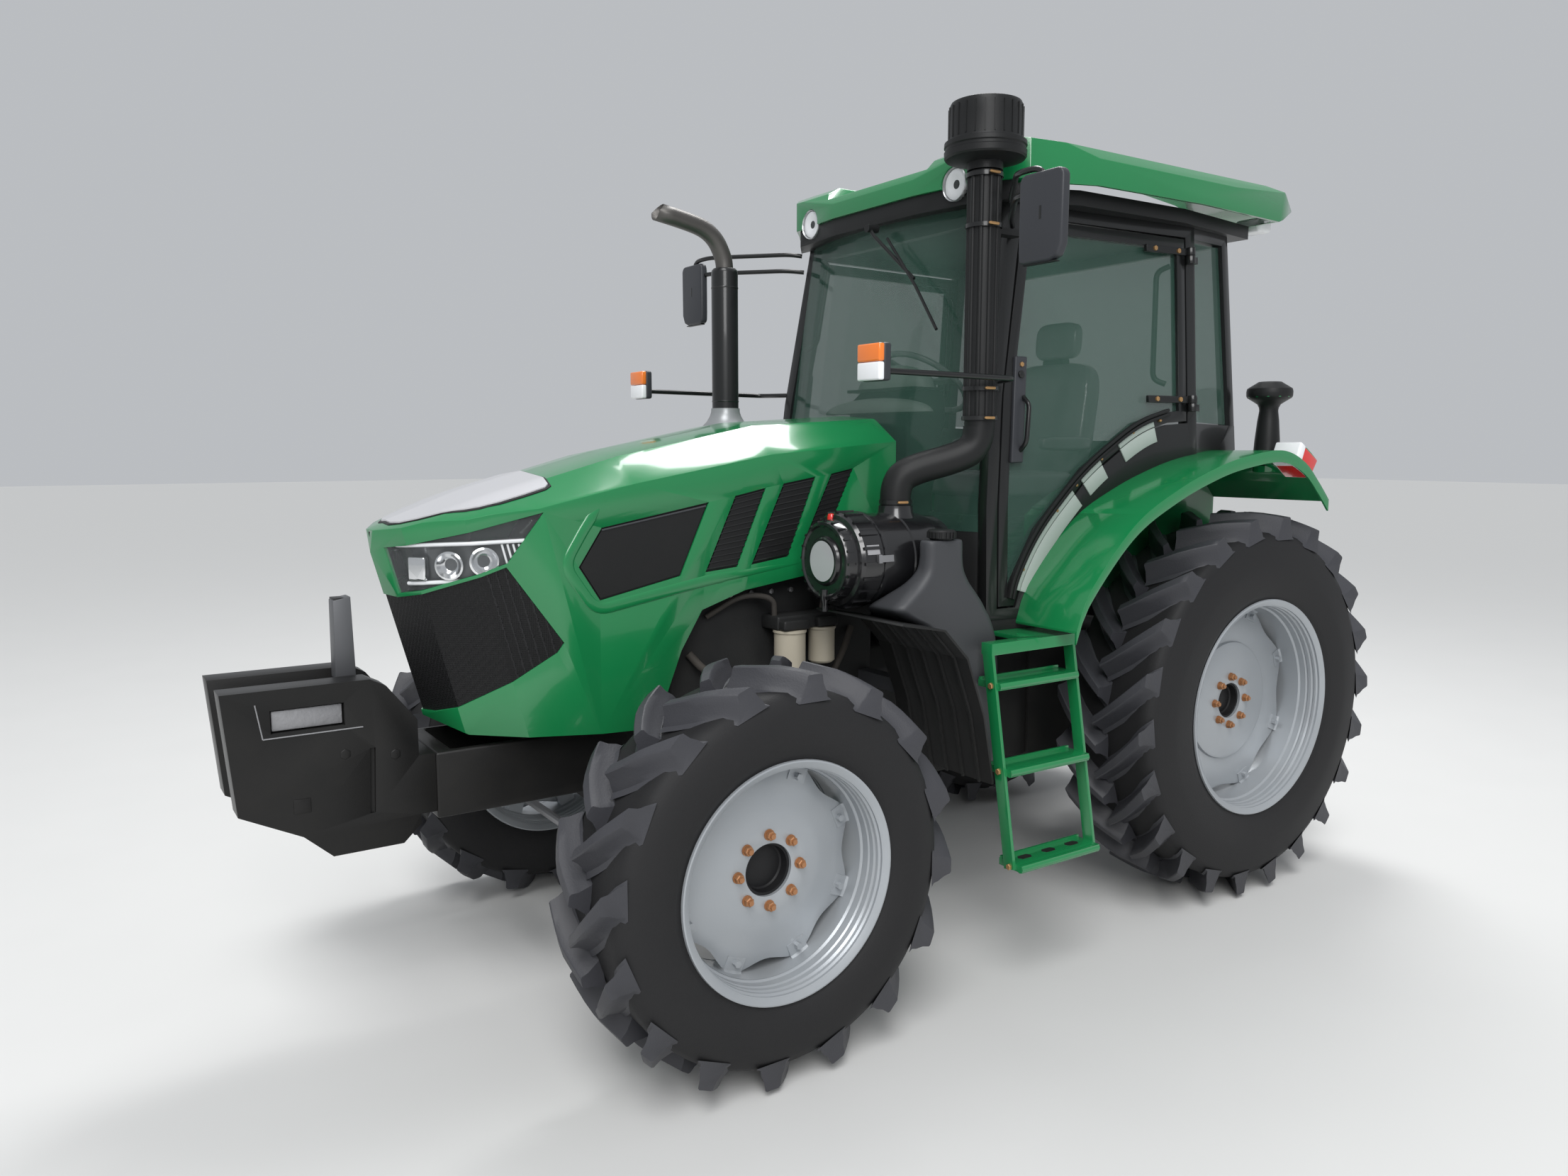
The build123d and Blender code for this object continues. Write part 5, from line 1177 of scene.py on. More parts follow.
def smooth_row(table, share):
    """Row between the rows of a table, on a smooth curve through them; share runs from 0 to 1."""
    place = share * (len(table) - 1)
    index = min(int(place), len(table) - 2)
    t = place - index
    p0, p1 = table[max(index - 1, 0)], table[index]
    p2, p3 = table[index + 1], table[min(index + 2, len(table) - 1)]
    return [0.5 * (2 * b + (c - a) * t + (2 * a - 5 * b + 4 * c - d) * t * t + (3 * b - a - 3 * c + d) * t ** 3)
            for a, b, c, d in zip(p0, p1, p2, p3)]


def rounded_section(x0, x1, y0, y1, z, corner, steps=10):
    """Loop of points round a rectangle with round corners."""
    corner = min(corner, (x1 - x0) * 0.42, (y1 - y0) * 0.42)
    loop = []
    for cx, cy, start in ((x1 - corner, y1 - corner, 0), (x0 + corner, y1 - corner, 90),
                          (x0 + corner, y0 + corner, 180), (x1 - corner, y0 + corner, 270)):
        for step in range(steps + 1):
            a = radians(start + 90 * step / steps)
            loop.append((cx + corner * cos(a), cy + corner * sin(a), z))
    return loop


def lofted(loops):
    """Closed skin through loops of equal length."""
    count = len(loops[0])
    vertices = [point for loop in loops for point in loop]
    faces = []
    for row in range(len(loops) - 1):
        for step in range(count):
            a, b = row * count + step, row * count + (step + 1) % count
            faces.append((a, b, b + count, a + count))
    faces += [tuple(range(count - 1, -1, -1)), tuple(range(len(vertices) - count, len(vertices)))]
    return vertices, faces


loops = []
for step in range(66):
    z, x0, x1, y0, y1 = smooth_row(TANK, step / 65)
    groove = sum(0.004 for level in (1.035, 0.905, 0.790) if abs(z - level) < 0.009)
    loops.append(rounded_section(x0 + groove, x1, y0, y1 - groove, z, 0.045))
tank = joined(lofted(loops), box((0.145, 0.205), (0.2355, 0.482), (0.960, 1.010)))
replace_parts(add_piece("fuel_tank_full", *tank, "tank_plastic", "chassis", 40), "fuel_tank")
cap = [(1.546, 0.0004), (1.546, 0.036), (1.552, 0.044), (1.574, 0.0465), (1.5795, 0.042), (1.580, 0.0004)]
grips = [moved(moved(box((0.043, 0.049), (-0.003, 0.003), (1.553, 1.573)),
                     Matrix.Rotation(2 * pi * step / 20, 4, "Z")),
               Matrix.Translation((0.277, 0.774, 0.0))) for step in range(20)]
add_piece("tank_cap", *joined(turned_at(cap, 40, (0.277, 0.774, 0.0)), *grips), "black_plastic", "chassis")

# %% [markdown]
# ## Fenders and rear lamps
#
# The fender's line is a smooth curve: the softened CAD piece is cut across at close steps, and what
# lies near the line follows the curve. A beacon foot and two lamps sit on each fender.

# %%
FENDER_LINE = ((-0.140, 1.228), (-0.205, 1.362), (-0.420, 1.577), (-0.650, 1.697), (-0.890, 1.780),
               (-1.080, 1.820), (-1.290, 1.838), (-1.440, 1.792), (-1.545, 1.712), (-1.625, 1.638))


def straight_height(x):
    rows = FENDER_LINE[::-1]
    return between(rows, max(min(x, rows[-1][0]), rows[0][0]), 1)


def curved_heights():
    """Heights of the smooth fender line against x."""
    samples = [smooth_row(FENDER_LINE, step / 360) for step in range(361)]
    return sorted(((x, z) for x, z in samples), key=lambda row: row[0])


CURVE = curved_heights()


def curve_fender(label, side):
    piece = softened(f"fender_{label}", "green_paint", 0.003, 2)
    work = bmesh.new()
    work.from_mesh(piece.data)
    for step in range(52):
        x = -1.615 + 0.0284 * step
        bmesh.ops.bisect_plane(work, geom=work.verts[:] + work.edges[:] + work.faces[:], plane_co=(x, 0, 0),
                               plane_no=(1, 0, 0))
    for vertex in work.verts:
        x = vertex.co.x
        if not -1.625 < x < -0.140:
            continue
        away = abs(vertex.co.z - straight_height(x))
        share = max(0.0, min(1.0, (0.16 - away) / 0.08))
        vertex.co.z += share * (between(CURVE, x, 1) - straight_height(x))
    work.to_mesh(piece.data)
    work.free()
    piece.data.shade_smooth()
    piece.data.set_sharp_from_angle(angle=radians(34))
    return piece


for side, label in SIDES:
    curve_fender(label, side)
    beacon = [(1.775, 0.0004), (1.775, 0.060), (1.782, 0.056), (1.800, 0.0535), (1.880, 0.0490),
              (1.960, 0.0420),
              (2.000, 0.0365), (2.012, 0.038), (2.026, 0.045), (2.040, 0.066), (2.052, 0.085),
              (2.060, 0.0895),
              (2.078, 0.0900), (2.090, 0.087), (2.100, 0.072), (2.110, 0.056), (2.118, 0.044),
              (2.118, 0.0004)]
    add_piece(f"beacon_{label}", *turned_at(beacon, 48, (-1.500, side * 0.790, 0.0)), "black_plastic",
              "chassis", 40)
lamp = ((-1.552, 1.798), (-1.430, 1.869), (-1.397, 1.797), (-1.503, 1.726))
cover = plate(lamp, 0.111, lambda a, b, c: (a, 0.877 + c, b))
both_sides("tail_lamp", cover, "lamp_red", "chassis", 35, 0.008, 3)
front = ((-1.462, 1.8545), (-1.428, 1.8735), (-1.393, 1.797), (-1.429, 1.773))
white = plate(front, 0.115, lambda a, b, c: (a, 0.875 + c, b))
both_sides("reverse_lamp", white, "lamp_white", "chassis", 35, 0.008, 3)
print("tank and fenders made")

# %% [markdown]
# ## Cab outside
#
# What belongs to a door is drawn in the door's own frame, at its hinge line, and rides on the door.
# The sill strips follow one curve, the lower edge of the glass, at different distances from it.

# %%
DOOR = Matrix.Translation((-1.060, 0.775, 1.240)) @ Matrix.Rotation(radians(-3.8), 4, "Z")
DOOR = DOOR @ Matrix.Rotation(radians(4.0), 4, "X")
SILL_CURVE = [Vector((x, 0, z)) for x, z in ((0.912, 0.060), (0.893, 0.130), (0.786, 0.292), (0.560, 0.500),
                                             (0.282, 0.667), (0.110, 0.712))]


def sill_strip(start, end, inner, outer, low_y, high_y):
    """Strip that follows the door's lower edge, between two shares of its length."""
    path = rounded_path(SILL_CURVE, 0.12, 8)
    lengths = [0.0]
    for a, b in zip(path, path[1:]):
        lengths.append(lengths[-1] + (b - a).length)
    loops = []
    for index, point in enumerate(path):
        if not start <= lengths[index] / lengths[-1] <= end:
            continue
        ahead = (path[min(index + 1, len(path) - 1)] - path[max(index - 1, 0)]).normalized()
        normal = Vector((ahead.z, 0, -ahead.x))
        loops.append([point + normal * reach + Vector((0, y, 0))
                      for reach, y in ((inner, low_y), (outer, low_y), (outer, high_y), (inner, high_y))])
    return lofted(loops)


SILL_PANELS = ((0.02, 0.46), (0.49, 0.62), (0.65, 0.95))
strips = [moved(sill_strip(start, end, -0.058, -0.002, -0.002, 0.005), DOOR) for start, end in SILL_PANELS]
both_sides("sill_panel", joined(*strips), "panel_grey", "door", 35, 0.0015)
outer_strips = [moved(sill_strip(start, end, 0.002, 0.022, -0.002, 0.006), DOOR) for start,
                end in SILL_PANELS]
both_sides("arch_panel", joined(*outer_strips), "panel_grey", "chassis", 35, 0.0015)
seals = [moved(sill_strip(0.0, 1.0, reach, reach + 0.012, -0.002, 0.016), DOOR) for reach in (0.024, 0.040)]
both_sides("arch_seal", joined(*seals), "black_plastic", "chassis", 35, 0.003)
rivets = []
for x, z in ((0.870, 0.185), (0.700, 0.392), (0.600, 0.484), (0.470, 0.580), (0.300, 0.680), (0.150, 0.727)):
    rivets.append(moved(turned([(0.0, 0.006), (0.0068, 0.006), (0.009, 0.004), (0.0095, 0.0004)], 14),
                        DOOR @ Matrix.Translation((x + 0.015, 0.0, z - 0.012))))
both_sides("arch_rivets", joined(*rivets), "plated_bolt", "chassis")

# %% [markdown]
# ## Door handles
#
# A long plate, a bent lever, a lock and the bolts of both hinges.

# %%
grip_outline = ((0.882, 0.556), (0.938, 0.556), (0.908, 0.934), (0.852, 0.934))
grip = moved(plate(grip_outline, 0.018, lambda a, b, c: (a, c - 0.003, b)), DOOR)
both_sides("handle_plate", grip, "dark_plastic", "door", 35, 0.006, 3)
lever = rounded_path([(0.895, 0.012, 0.600), (0.893, 0.044, 0.625), (0.879, 0.048, 0.760),
                      (0.876, 0.014, 0.790)], 0.02)
knob = turned([(0.012, 0.013), (0.022, 0.013), (0.024, 0.010), (0.024, 0.0004)], 20)
handle = joined(tube(lever, 0.0085, 12), moved(knob, Matrix.Translation((0.886, 0.0, 0.870))))
both_sides("door_handle", moved(handle, DOOR), "black_paint", "door")
bolts = [moved(turned([(0.010, 0.009), (0.020, 0.009), (0.021, 0.006), (0.021, 0.0004)], 6),
               DOOR @ Matrix.Translation((0.882, 0.0, 0.905)))]
for height in (0.798, 1.373):
    bolts += [moved(turned([(0.010, 0.010), (0.018, 0.010), (0.0185, 0.0004)], 6),
                    DOOR @ Matrix.Translation((x, 0.0, height))) for x in (0.060, 0.190)]
both_sides("door_bolts", joined(*bolts), "plated_bolt", "door")
for node in ("door_glass_left", "door_glass_right"):
    NODES[node].data.shade_flat()

# %% [markdown]
# ## Roof and rear lamps
#
# Work lamps are a lens, a bowl and a ring, each turned about the forward direction.

# %%
lens = [(-0.072, 0.057), (-0.060, 0.059), (-0.052, 0.057), (-0.047, 0.048), (-0.044, 0.030), (-0.043, 0.0004)]
bowl = [(-0.066, 0.0004), (-0.064, 0.016), (-0.058, 0.036), (-0.056, 0.050), (-0.0585, 0.054)]
ring = [(-0.085, 0.0575), (-0.050, 0.0610), (-0.046, 0.0590), (-0.050, 0.0560), (-0.060, 0.0560)]
both_sides("roof_lens", turned_at(lens, 40, (0.0, 0.446, 2.788), ALONG_X), "clear_lens", "chassis", 60)
both_sides("roof_bowl", turned_at(bowl, 40, (0.004, 0.446, 2.788), ALONG_X), "lamp_white", "chassis", 60)
both_sides("roof_lamp_ring", turned_at(ring, 40, (0.0, 0.446, 2.788), ALONG_X), "silver", "chassis", 60)
rear_lamp = box((-1.655, -1.560), (0.545, 0.660), (2.748, 2.806))
both_sides("rear_lamp", rear_lamp, "lamp_white", "chassis", 35, 0.014, 3)

# %% [markdown]
# ## Mirrors
#
# A moulded shell with a thin pane behind it, on two bent arms.

# %%
head = ((0.990, 2.452), (0.992, 2.420), (1.012, 2.412), (1.120, 2.412), (1.152, 2.424), (1.168, 2.460),
        (1.170, 2.662), (1.160, 2.678), (1.146, 2.682), (1.012, 2.682), (0.996, 2.676), (0.990, 2.660))
shell = plate(head, 0.034, lambda a, b, c: (0.143 + c, a, b))
arms = [rounded_path([(-0.145, 0.648, 2.692), (-0.100, 0.680, 2.700), (0.158, 0.960, 2.700),
                      (0.160, 1.080, 2.696),
                      (0.160, 1.080, 2.560)], 0.05),
        rounded_path([(-0.150, 0.640, 2.622), (-0.090, 0.690, 2.630),
                      (0.150, 0.950, 2.630), (0.158, 1.060, 2.630)], 0.05)]
for side, label in SIDES:
    own = on_side(shell, side)
    piece = add_piece(f"mirror_shell_{label}", *own, "dark_plastic", "chassis")
    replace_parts(bevelled(piece, 0.009, 4), f"mirror_{label}")
mirror_arms = [tube(path, 0.0095, 16) for path in arms]
pivot = tube([(0.158, 1.080, 2.540), (0.158, 1.080, 2.580)], 0.020, 20)
both_sides("mirror_arms", joined(*mirror_arms, pivot), "black_paint", "chassis", 50)
pane = plate([(1.080 + (y - 1.080) * 0.9, 2.547 + (z - 2.547) * 0.92) for y, z in head], 0.002,
             lambda a, b, c: (0.1425 - c, a, b))
both_sides("mirror_pane", pane, "mirror_glass", "chassis")
both_sides("mirror_edge", box((0.1500, 0.1700), (1.006, 1.140), (2.4095, 2.4125)), "black_plastic", "chassis")

# %% [markdown]
# ## Front markers and wiper
#
# A square housing with an orange and a clear half on a long arm, and the wiper on the windscreen.

# %%
housing = box((0.562, 0.594), (0.737, 0.853), (2.054, 2.170))
arm = rounded_path([(-0.070, 0.655, 2.080), (-0.040, 0.700, 2.080), (-0.020, 0.800, 2.082),
                    (0.570, 0.800, 2.088)], 0.04)
for side, label in SIDES:
    own = on_side(housing, side)
    piece = add_piece(f"marker_housing_{label}", *own, "dark_plastic", "chassis")
    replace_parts(bevelled(piece, 0.010, 4), f"marker_{label}")
both_sides("marker_arm", tube(arm, 0.0098, 16), "black_paint", "chassis", 50)
orange = box((0.588, 0.611), (0.739, 0.851), (2.113, 2.168))
both_sides("marker_orange", orange, "lamp_orange", "chassis", 35, 0.006, 3)
clear = box((0.588, 0.611), (0.739, 0.851), (2.056, 2.112))
both_sides("marker_clear", clear, "lamp_white", "chassis", 35, 0.006, 3)
wiper = joined(tube(rounded_path([(0.010, 0.040, 2.690), (0.018, 0.060, 2.665), (0.010, 0.300, 2.470)],
                                 0.03), 0.007, 10),
               tube([(0.000, 0.130, 2.640), (0.028, 0.330, 2.440), (0.046, 0.470, 2.270)], 0.006, 8),
               tube([(-0.02, 0.040, 2.690), (0.030, 0.040, 2.690)], 0.016, 16))
add_piece("wiper", *wiper, "black_plastic", "chassis")
print("cab outside made")

# %% [markdown]
# ## Inside the cab
#
# The seat stands on a sprung base behind rubber folds. Its cushions are plain rounded blocks, without
# seams or piping, which is simpler than sewn cushions are; their wrinkled shine stands for the clear
# film of a new seat and is in the material only.

# %%
def rounded_block(centre, size, power, lean=0.0, steps=28):
    """Soft block: a ball drawn out towards a box, leaning back by a share of its height."""
    def corner(value):
        return (1 if value >= 0 else -1) * abs(value) ** (2 / power)

    vertices, faces = [], []
    turns = 2 * steps
    for row in range(steps + 1):
        v = -pi / 2 + pi * row / steps
        for step in range(turns):
            u = 2 * pi * step / turns
            x, y, z = corner(cos(v)) * corner(cos(u)), corner(cos(v)) * corner(sin(u)), corner(sin(v))
            rise = z * size[2] / 2
            vertices.append((centre[0] + x * size[0] / 2 - lean * rise, centre[1] + y * size[1] / 2,
                             centre[2] + rise))
    for row in range(steps):
        for step in range(turns):
            a, b = row * turns + step, row * turns + (step + 1) % turns
            faces.append((a, b, b + turns, a + turns))
    return vertices, faces


def soft_piece(name, centre, size, power, lean):
    piece = add_piece(name, *rounded_block(centre, size, power, lean), "seat_film", "chassis", 60)
    work = bmesh.new()
    work.from_mesh(piece.data)
    bmesh.ops.remove_doubles(work, verts=work.verts, dist=1e-5)
    work.to_mesh(piece.data)
    work.free()
    piece.data.shade_smooth()
    return piece


seat_base = joined(box((-0.900, -0.640), (-0.170, 0.170), (1.2405, 1.300)),
                   box((-0.870, -0.670), (-0.150, 0.150), (1.300, 1.560)),
                   box((-0.930, -0.560), (-0.215, 0.215), (1.560, 1.645)),
                   box((-1.110, -1.060), (-0.060, 0.060), (1.640, 2.240)))
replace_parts(bevelled(add_piece("seat_base", *seat_base, "black_plastic", "chassis"), 0.008, 2), "seat")
folds = [tube([(-0.886, y, 1.300 + 0.04 * k), (-0.654, y, 1.300 + 0.04 * k)], 0.012, 10)
         for k in range(7) for y in (-0.152, 0.152)]
add_piece("seat_bellows", *joined(*folds), "rubber", "chassis")
soft_piece("seat_cushion", (-0.752, 0.0, 1.695), (0.510, 0.500, 0.125), 5.0, 0.0)
soft_piece("seat_back", (-1.050, 0.0, 1.970), (0.130, 0.480, 0.500), 4.5, 0.16)
soft_piece("seat_head", (-1.098, 0.0, 2.318), (0.075, 0.240, 0.165), 4.0, 0.06)
for side in (1, -1):
    soft_piece(f"seat_arm_{'left' if side > 0 else 'right'}", (-0.870, side * 0.262, 1.865),
               (0.300, 0.052, 0.060), 4.0,
               0.0)

# %% [markdown]
# ## Console and steering wheel
#
# The console is a plate cut to its side view and rounded; the wheel is a ring with three spokes.

# %%
console = plate([(-0.060, 1.2405), (-0.060, 2.010), (-0.075, 2.040), (-0.130, 2.085), (-0.235, 2.080),
                 (-0.262, 2.050),
                 (-0.265, 1.960), (-0.225, 1.780), (-0.190, 1.600), (-0.190, 1.2405)], 0.380,
                lambda a, b, c: (a, c - 0.190, b))
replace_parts(bevelled(add_piece("console", *console, "black_plastic", "chassis"), 0.018, 4), "steering_column")
add_piece("column", *tube([(-0.220, 0, 1.990), (-0.308, 0, 2.108)], [0.034, 0.026], 24), "black_plastic",
          "chassis")
tilt = Matrix.Translation((-0.312, 0, 2.115)) @ Matrix.Rotation(radians(-36), 4, "Y")
RING_RADIUS, RING_THICK = 0.186, 0.0125
rim_shape = [[], []]
for step in range(72):
    a = 2 * pi * step / 72
    for turn in range(12):
        b = 2 * pi * turn / 12
        r = RING_RADIUS + RING_THICK * cos(b)
        rim_shape[0].append((r * cos(a), r * sin(a), RING_THICK * sin(b)))
        here, there = step * 12, (step + 1) % 72 * 12
        rim_shape[1].append((here + turn, there + turn, there + (turn + 1) % 12, here + (turn + 1) % 12))
spokes = [moved(box((0.040, 0.180), (-0.013, 0.013), (-0.006, 0.006)), Matrix.Rotation(radians(turn), 4, "Z"))
          for turn in (90, 210, 330)]
pad = moved(turned([(-0.016, 0.0004), (-0.016, 0.046), (0.004, 0.052), (0.014, 0.046), (0.018, 0.0004)],
                   40), ALONG_Z)
add_piece("steering_wheel", *moved(joined(rim_shape, *spokes, pad), tilt), "seat_film", "chassis", 40)

# %% [markdown]
# ## Dash, bars and levers
#
# The dash hood is a flattened dome. Grab bars stand beside the doors, levers beside the seat.

# %%
def dome(centre, half, height, low):
    """Flat-bottomed cap over an oval, like a dash hood."""
    vertices, faces = [], []
    rows, turns = 10, 40
    for row in range(rows + 1):
        v = (pi / 2) * row / rows
        for step in range(turns):
            u = 2 * pi * step / turns
            vertices.append((centre[0] + half[0] * cos(v) * cos(u), centre[1] + half[1] * cos(v) * sin(u),
                             low + height * sin(v)))
    for row in range(rows):
        for step in range(turns):
            a, b = row * turns + step, row * turns + (step + 1) % turns
            faces.append((a, b, b + turns, a + turns))
    faces.append(tuple(range(turns - 1, -1, -1)))
    return vertices, faces


add_piece("dash_hood", *dome((-0.155, 0.0), (0.088, 0.215), 0.095, 2.083), "panel_grey", "chassis", 60)
add_piece("dash_band", *box((-0.232, -0.068), (-0.206, 0.206), (2.072, 2.084)), "black_plastic", "chassis")
add_piece("dash_ledge", *dome((-0.060, 0.0), (0.075, 0.330), 0.060, 1.985), "panel_grey", "chassis", 60)
bars = []
for side in (1, -1):
    bars.append(tube(rounded_path([(-0.195, side * 0.560, 2.660), (-0.200, side * 0.520, 2.640),
                                   (-0.150, side * 0.540, 2.300),
                                   (-0.120, side * 0.590, 2.270)], 0.03), 0.011, 12))
    bars.append(tube(rounded_path([(-1.020, side * 0.640, 2.560), (-0.990, side * 0.600, 2.540),
                                   (-0.980, side * 0.610, 2.120),
                                   (-1.010, side * 0.650, 2.100)], 0.03), 0.011, 12))
add_piece("grab_bars", *joined(*bars), "black_paint", "chassis")
levers = []
for x, y, top in ((-0.62, -0.300, 1.86), (-0.70, -0.320, 1.83), (-0.56, -0.290, 1.80)):
    levers.append(tube([(x, y, 1.55), (x + 0.02, y, top - 0.04)], 0.007, 10))
    levers.append(rounded_block((x + 0.021, y, top - 0.02), (0.034, 0.034, 0.052), 2.6, steps=10))
side_box = box((-0.950, -0.450), (-0.400, -0.250), (1.2405, 1.560))
bevelled(add_piece("side_console", *side_box, "black_plastic", "chassis"), 0.02, 3)
add_piece("levers", *joined(*levers), "black_plastic", "chassis")
print("inside of the cab made")

# %% [markdown]
# ## Ballast
#
# The ballast is two cast plates with a rough slot, a groove and bolts. The hanger plate stands between.

# %%
slot_shape = plate([(2.064, 1.044), (2.258, 1.044), (2.258, 1.104), (2.064, 1.104)], 0.012,
                   lambda a, b, c: (a, 0.147 + c, b))
both_sides("ballast_slot", slot_shape, "rough_silver", "chassis", 35, 0.004)
groove_bar = tube([(2.010, 0.1722, 1.028), (2.284, 0.1722, 1.028)], 0.0022, 6)
frame_bars = joined(groove_bar, tube([(2.284, 0.1722, 1.028), (2.300, 0.1722, 1.130)], 0.0022, 6))
both_sides("ballast_line", frame_bars, "rough_silver", "chassis")
marks = [moved(turned([(0.165, 0.017), (0.1735, 0.017), (0.1745, 0.014), (0.1745, 0.0004)], 6),
               Matrix.Translation((x, 0.0, z)))
         for x, z in ((2.064, 0.952), (1.920, 0.930))]
marks.append(plate([(2.165, 0.795), (2.213, 0.795), (2.213, 0.838), (2.165, 0.838)], 0.006,
                   lambda a, b, c: (a, 0.168 + c, b)))
both_sides("ballast_marks", joined(*marks), "ballast_black", "chassis", 35, 0.002)
hanger_plate = plate([(1.990, 1.150), (2.050, 1.150), (2.0475, 1.392), (1.996, 1.4015)], 0.060,
                     lambda a, b, c: (a, c - 0.030, b))
bevelled(add_piece("hanger_plate", *hanger_plate, "plate_grey", "chassis"), 0.003, 2)
# %% [markdown]
# ## Ladders
#
# Bent tread lips, long slots in the tread drawn as thin black sheets of painted shade, and the
# bolts that hold each ladder.

# %%
lips = []
for y, z in ((1.050, 0.450), (0.990, 0.762), (0.930, 1.045)):
    lips.append(tube([(-0.2348, y - 0.010, z + 0.011), (0.1448, y - 0.010, z + 0.011)], 0.0135, 20))
    lips.append(box((-0.2348, 0.1448), (y - 0.102, y - 0.094), (z + 0.022, z + 0.032)))
for side, label in SIDES:
    softened(f"ladder_{label}", "green_paint", 0.0045, 3)
both_sides("ladder_lips", joined(*lips), "green_paint", "chassis", 40)
# Each slot is a thin black sheet on the tread: painted shade where the tread has an opening.
slots = [plate([(x - 0.020, 0.0), (x + 0.020, 0.0), (x + 0.030, 0.014), (x + 0.020, 0.028),
                (x - 0.020, 0.028),
                (x - 0.030, 0.014)], 0.0012, lambda a, b, c: (a, 0.975 + b, 0.474 + c)) for x in (-0.16,
                                                                                                  -0.045,
                                                                                                  0.07)]
both_sides("ladder_slots", joined(*slots), "black_plastic", "chassis")
ladder_bolts = []
for x, out in ((-0.247, -1), (0.157, 1)):
    for y, z in ((0.945, 0.774), (0.900, 1.058), (1.005, 0.462)):
        head = turned([(0.0, 0.011), (0.006, 0.011), (0.008, 0.009), (0.008, 0.0004)], 6)
        ladder_bolts.append(moved(head,
                                  Matrix.Translation((x, y, z)) @ Matrix.Rotation(-out * pi / 2, 4, "Z")))
both_sides("ladder_bolts", joined(*ladder_bolts), "plated_bolt", "chassis")

# %% [markdown]
# ## Engine side
#
# Filters on their heads, short hoses and a row of bolts, as they show between hood and wheel.

# %%
def canister(place, radius, low, high):
    """Screw-on filter below its head."""
    return turned_at([(low, 0.0004), (low, radius * 0.8), (low + 0.008, radius), (high - 0.04, radius),
                      (high - 0.036, radius + 0.004), (high - 0.028, radius + 0.004),
                      (high - 0.026, radius * 0.7)],
                     40, place)


filters = joined(canister((0.585, 0.330, 0.0), 0.056, 1.050, 1.240),
                 canister((0.440, 0.320, 0.0), 0.048, 1.080, 1.240))
add_piece("filters", *filters, "filter_beige", "chassis")
heads = joined(box((0.385, 0.645), (0.2355, 0.345), (1.212, 1.262)),
               box((0.530, 0.640), (0.280, 0.380), (1.214, 1.250)),
               box((0.395, 0.485), (0.280, 0.365), (1.214, 1.250)))
bevelled(add_piece("filter_heads", *heads, "cast_grey", "chassis"), 0.008, 3)
hoses = []
for corners, radius in (([(0.630, 0.300, 1.262), (0.640, 0.310, 1.330), (0.760, 0.290, 1.345),
                          (0.880, 0.250, 1.270)], 0.010),
                        ([(0.420, 0.290, 1.262), (0.410, 0.300, 1.330), (0.300, 0.290, 1.350),
                          (0.220, 0.240, 1.300)], 0.010),
                        ([(0.950, 0.250, 1.150), (0.900, 0.290, 1.080), (0.780, 0.285, 1.060),
                          (0.700, 0.245, 1.000)], 0.014),
                        ([(0.250, 0.245, 1.180), (0.300, 0.280, 1.120), (0.380, 0.275, 0.980),
                          (0.520, 0.245, 0.920)], 0.012)):
    hoses.append(tube(rounded_path(corners, 0.06, 7), radius, 14))
add_piece("engine_hoses", *joined(*hoses), "rubber", "chassis", 60)
sump_bolts = []
for x in [0.180 + 0.085 * step for step in range(10)]:
    for side in (1, -1):
        head = turned([(0.0, 0.010), (0.009, 0.010), (0.010, 0.0004)], 6)
        turn = Matrix.Rotation(0 if side > 0 else pi, 4, "Z")
        sump_bolts.append(moved(head, Matrix.Translation((x, side * 0.235, 1.340)) @ turn))
add_piece("engine_bolts", *joined(*sump_bolts), "steel", "chassis")
print("ballast, ladder and engine side made")

# %% [markdown]
# ## Camera and floor
#
# A flat pale floor. The camera stands in front and to the left, at about a tall person's eye height.

# %%
CAMERA_PLACE = Vector((2.7881, 3.5691, 1.8542))
CAMERA_YAW, CAMERA_PITCH = 4.1203, -0.1257
FOCAL = 36.0 * 1582 / 2212

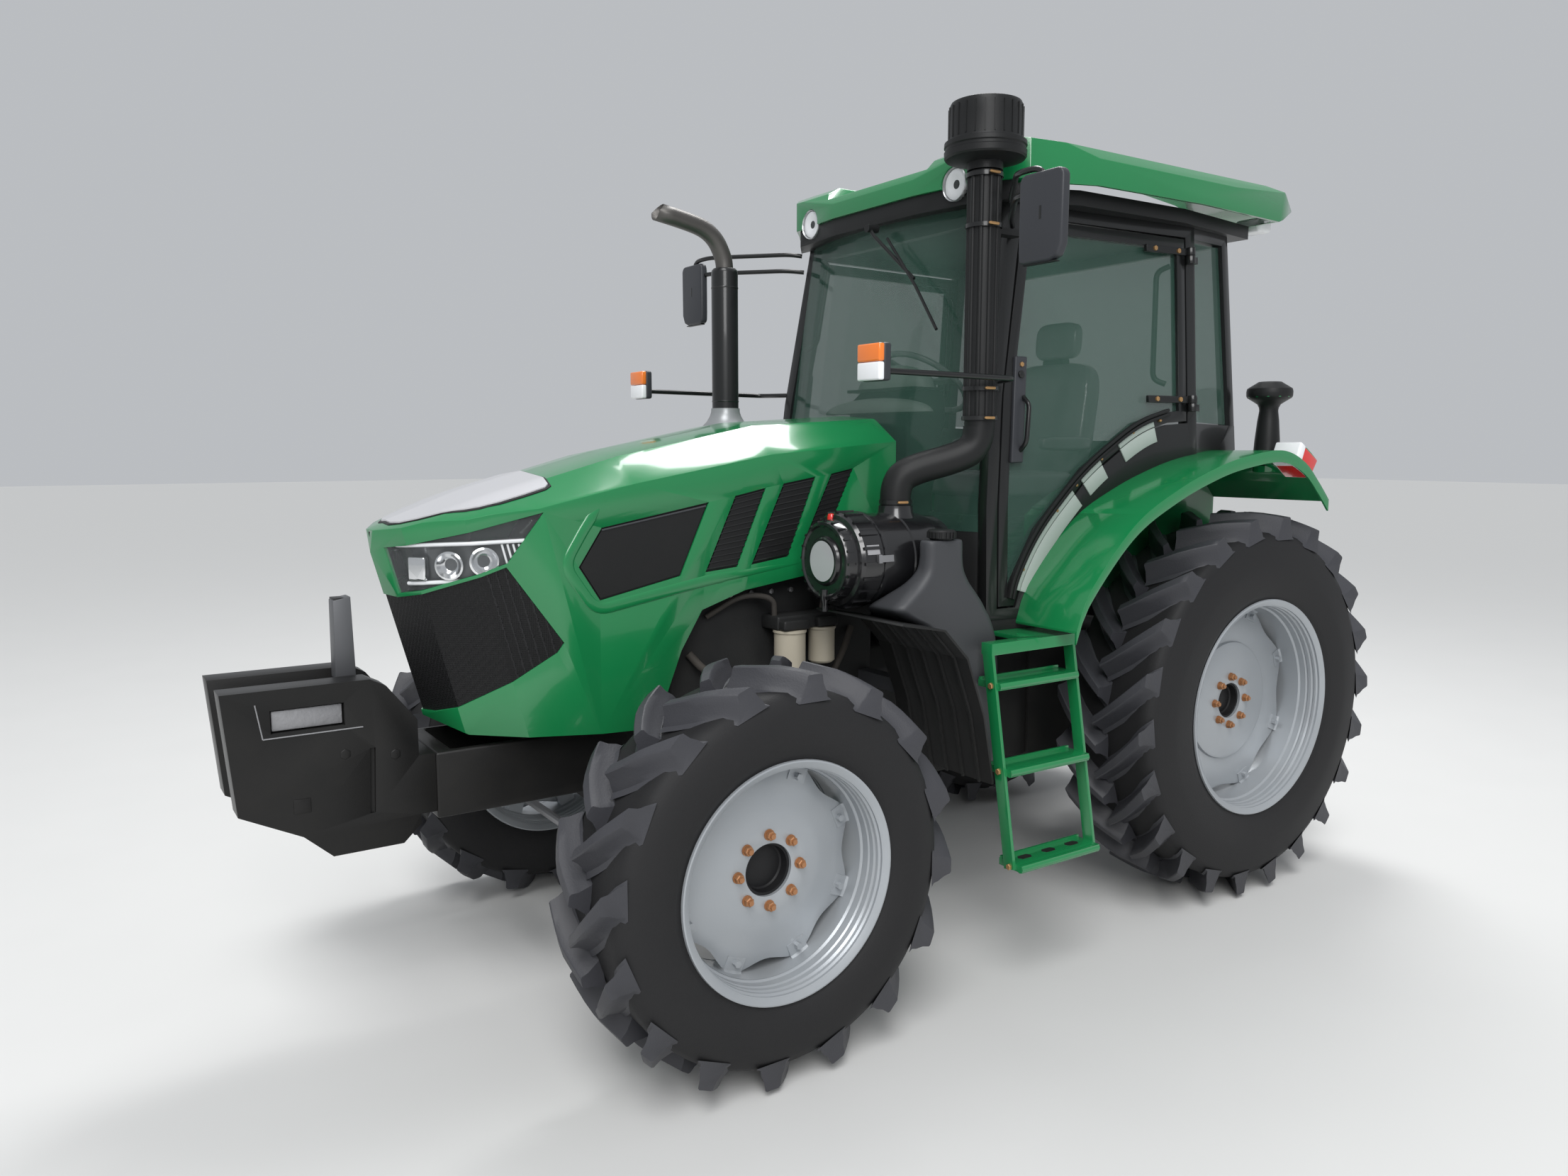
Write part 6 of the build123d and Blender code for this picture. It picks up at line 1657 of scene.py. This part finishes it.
scene = bpy.context.scene
scene.view_settings.view_transform = "Standard"
camera_data = bpy.data.cameras.new("camera")
camera_data.sensor_width = 36.0
camera_data.lens = FOCAL
camera = bpy.data.objects.new("camera", camera_data)
scene.collection.objects.link(camera)
camera.location = CAMERA_PLACE
look = Vector((cos(CAMERA_PITCH) * cos(CAMERA_YAW), cos(CAMERA_PITCH) * sin(CAMERA_YAW), sin(CAMERA_PITCH)))
camera.rotation_euler = look.to_track_quat("-Z", "Y").to_euler()
scene.camera = camera


def make_floor():
    size = 60.0
    mesh = bpy.data.meshes.new("floor")
    mesh.from_pydata([(-size, -size, 0), (size, -size, 0), (size, size, 0), (-size, size, 0)], [],
                     [(0, 1, 2, 3)])
    floor = bpy.data.objects.new("floor", mesh)
    scene.collection.objects.link(floor)
    floor.data.materials.append(surface("floor", (0.62, 0.62, 0.61), 0.7, bump=0.02, vary=0.01))

# %% [markdown]
# ## Light
#
# A soft sun, two large soft lamps and an even sky, at a level at which a colour shows about as written.

# %%
def add_light(name, place, target, size, power):
    data = bpy.data.lights.new(name, "AREA")
    data.size = size
    data.energy = power
    light = bpy.data.objects.new(name, data)
    light.location = place
    light.rotation_euler = (Vector(target) - Vector(place)).to_track_quat("-Z", "Y").to_euler()
    scene.collection.objects.link(light)


make_floor()
sun = bpy.data.lights.new("sun", "SUN")
sun.angle = radians(28)
sun.energy = 1.55
lamp = bpy.data.objects.new("sun", sun)
lamp.rotation_euler = Vector((-0.35, -0.42, -0.84)).to_track_quat("-Z", "Y").to_euler()
scene.collection.objects.link(lamp)
add_light("key", (5, 8, 6), (0, 0, 1), 4.0, 420)
add_light("top", (-2.4, -1.9, 8.4), (0.6, 0.2, 1.7), 3.2, 420)
world = bpy.data.worlds.new("sky")
scene.world = world
world.use_nodes = True
world.node_tree.nodes["Background"].inputs["Color"].default_value = (0.88, 0.91, 0.95, 1)
world.node_tree.nodes["Background"].inputs["Strength"].default_value = 0.56
print("camera at", tuple(round(c, 2) for c in camera.location), "lens", round(FOCAL, 2))
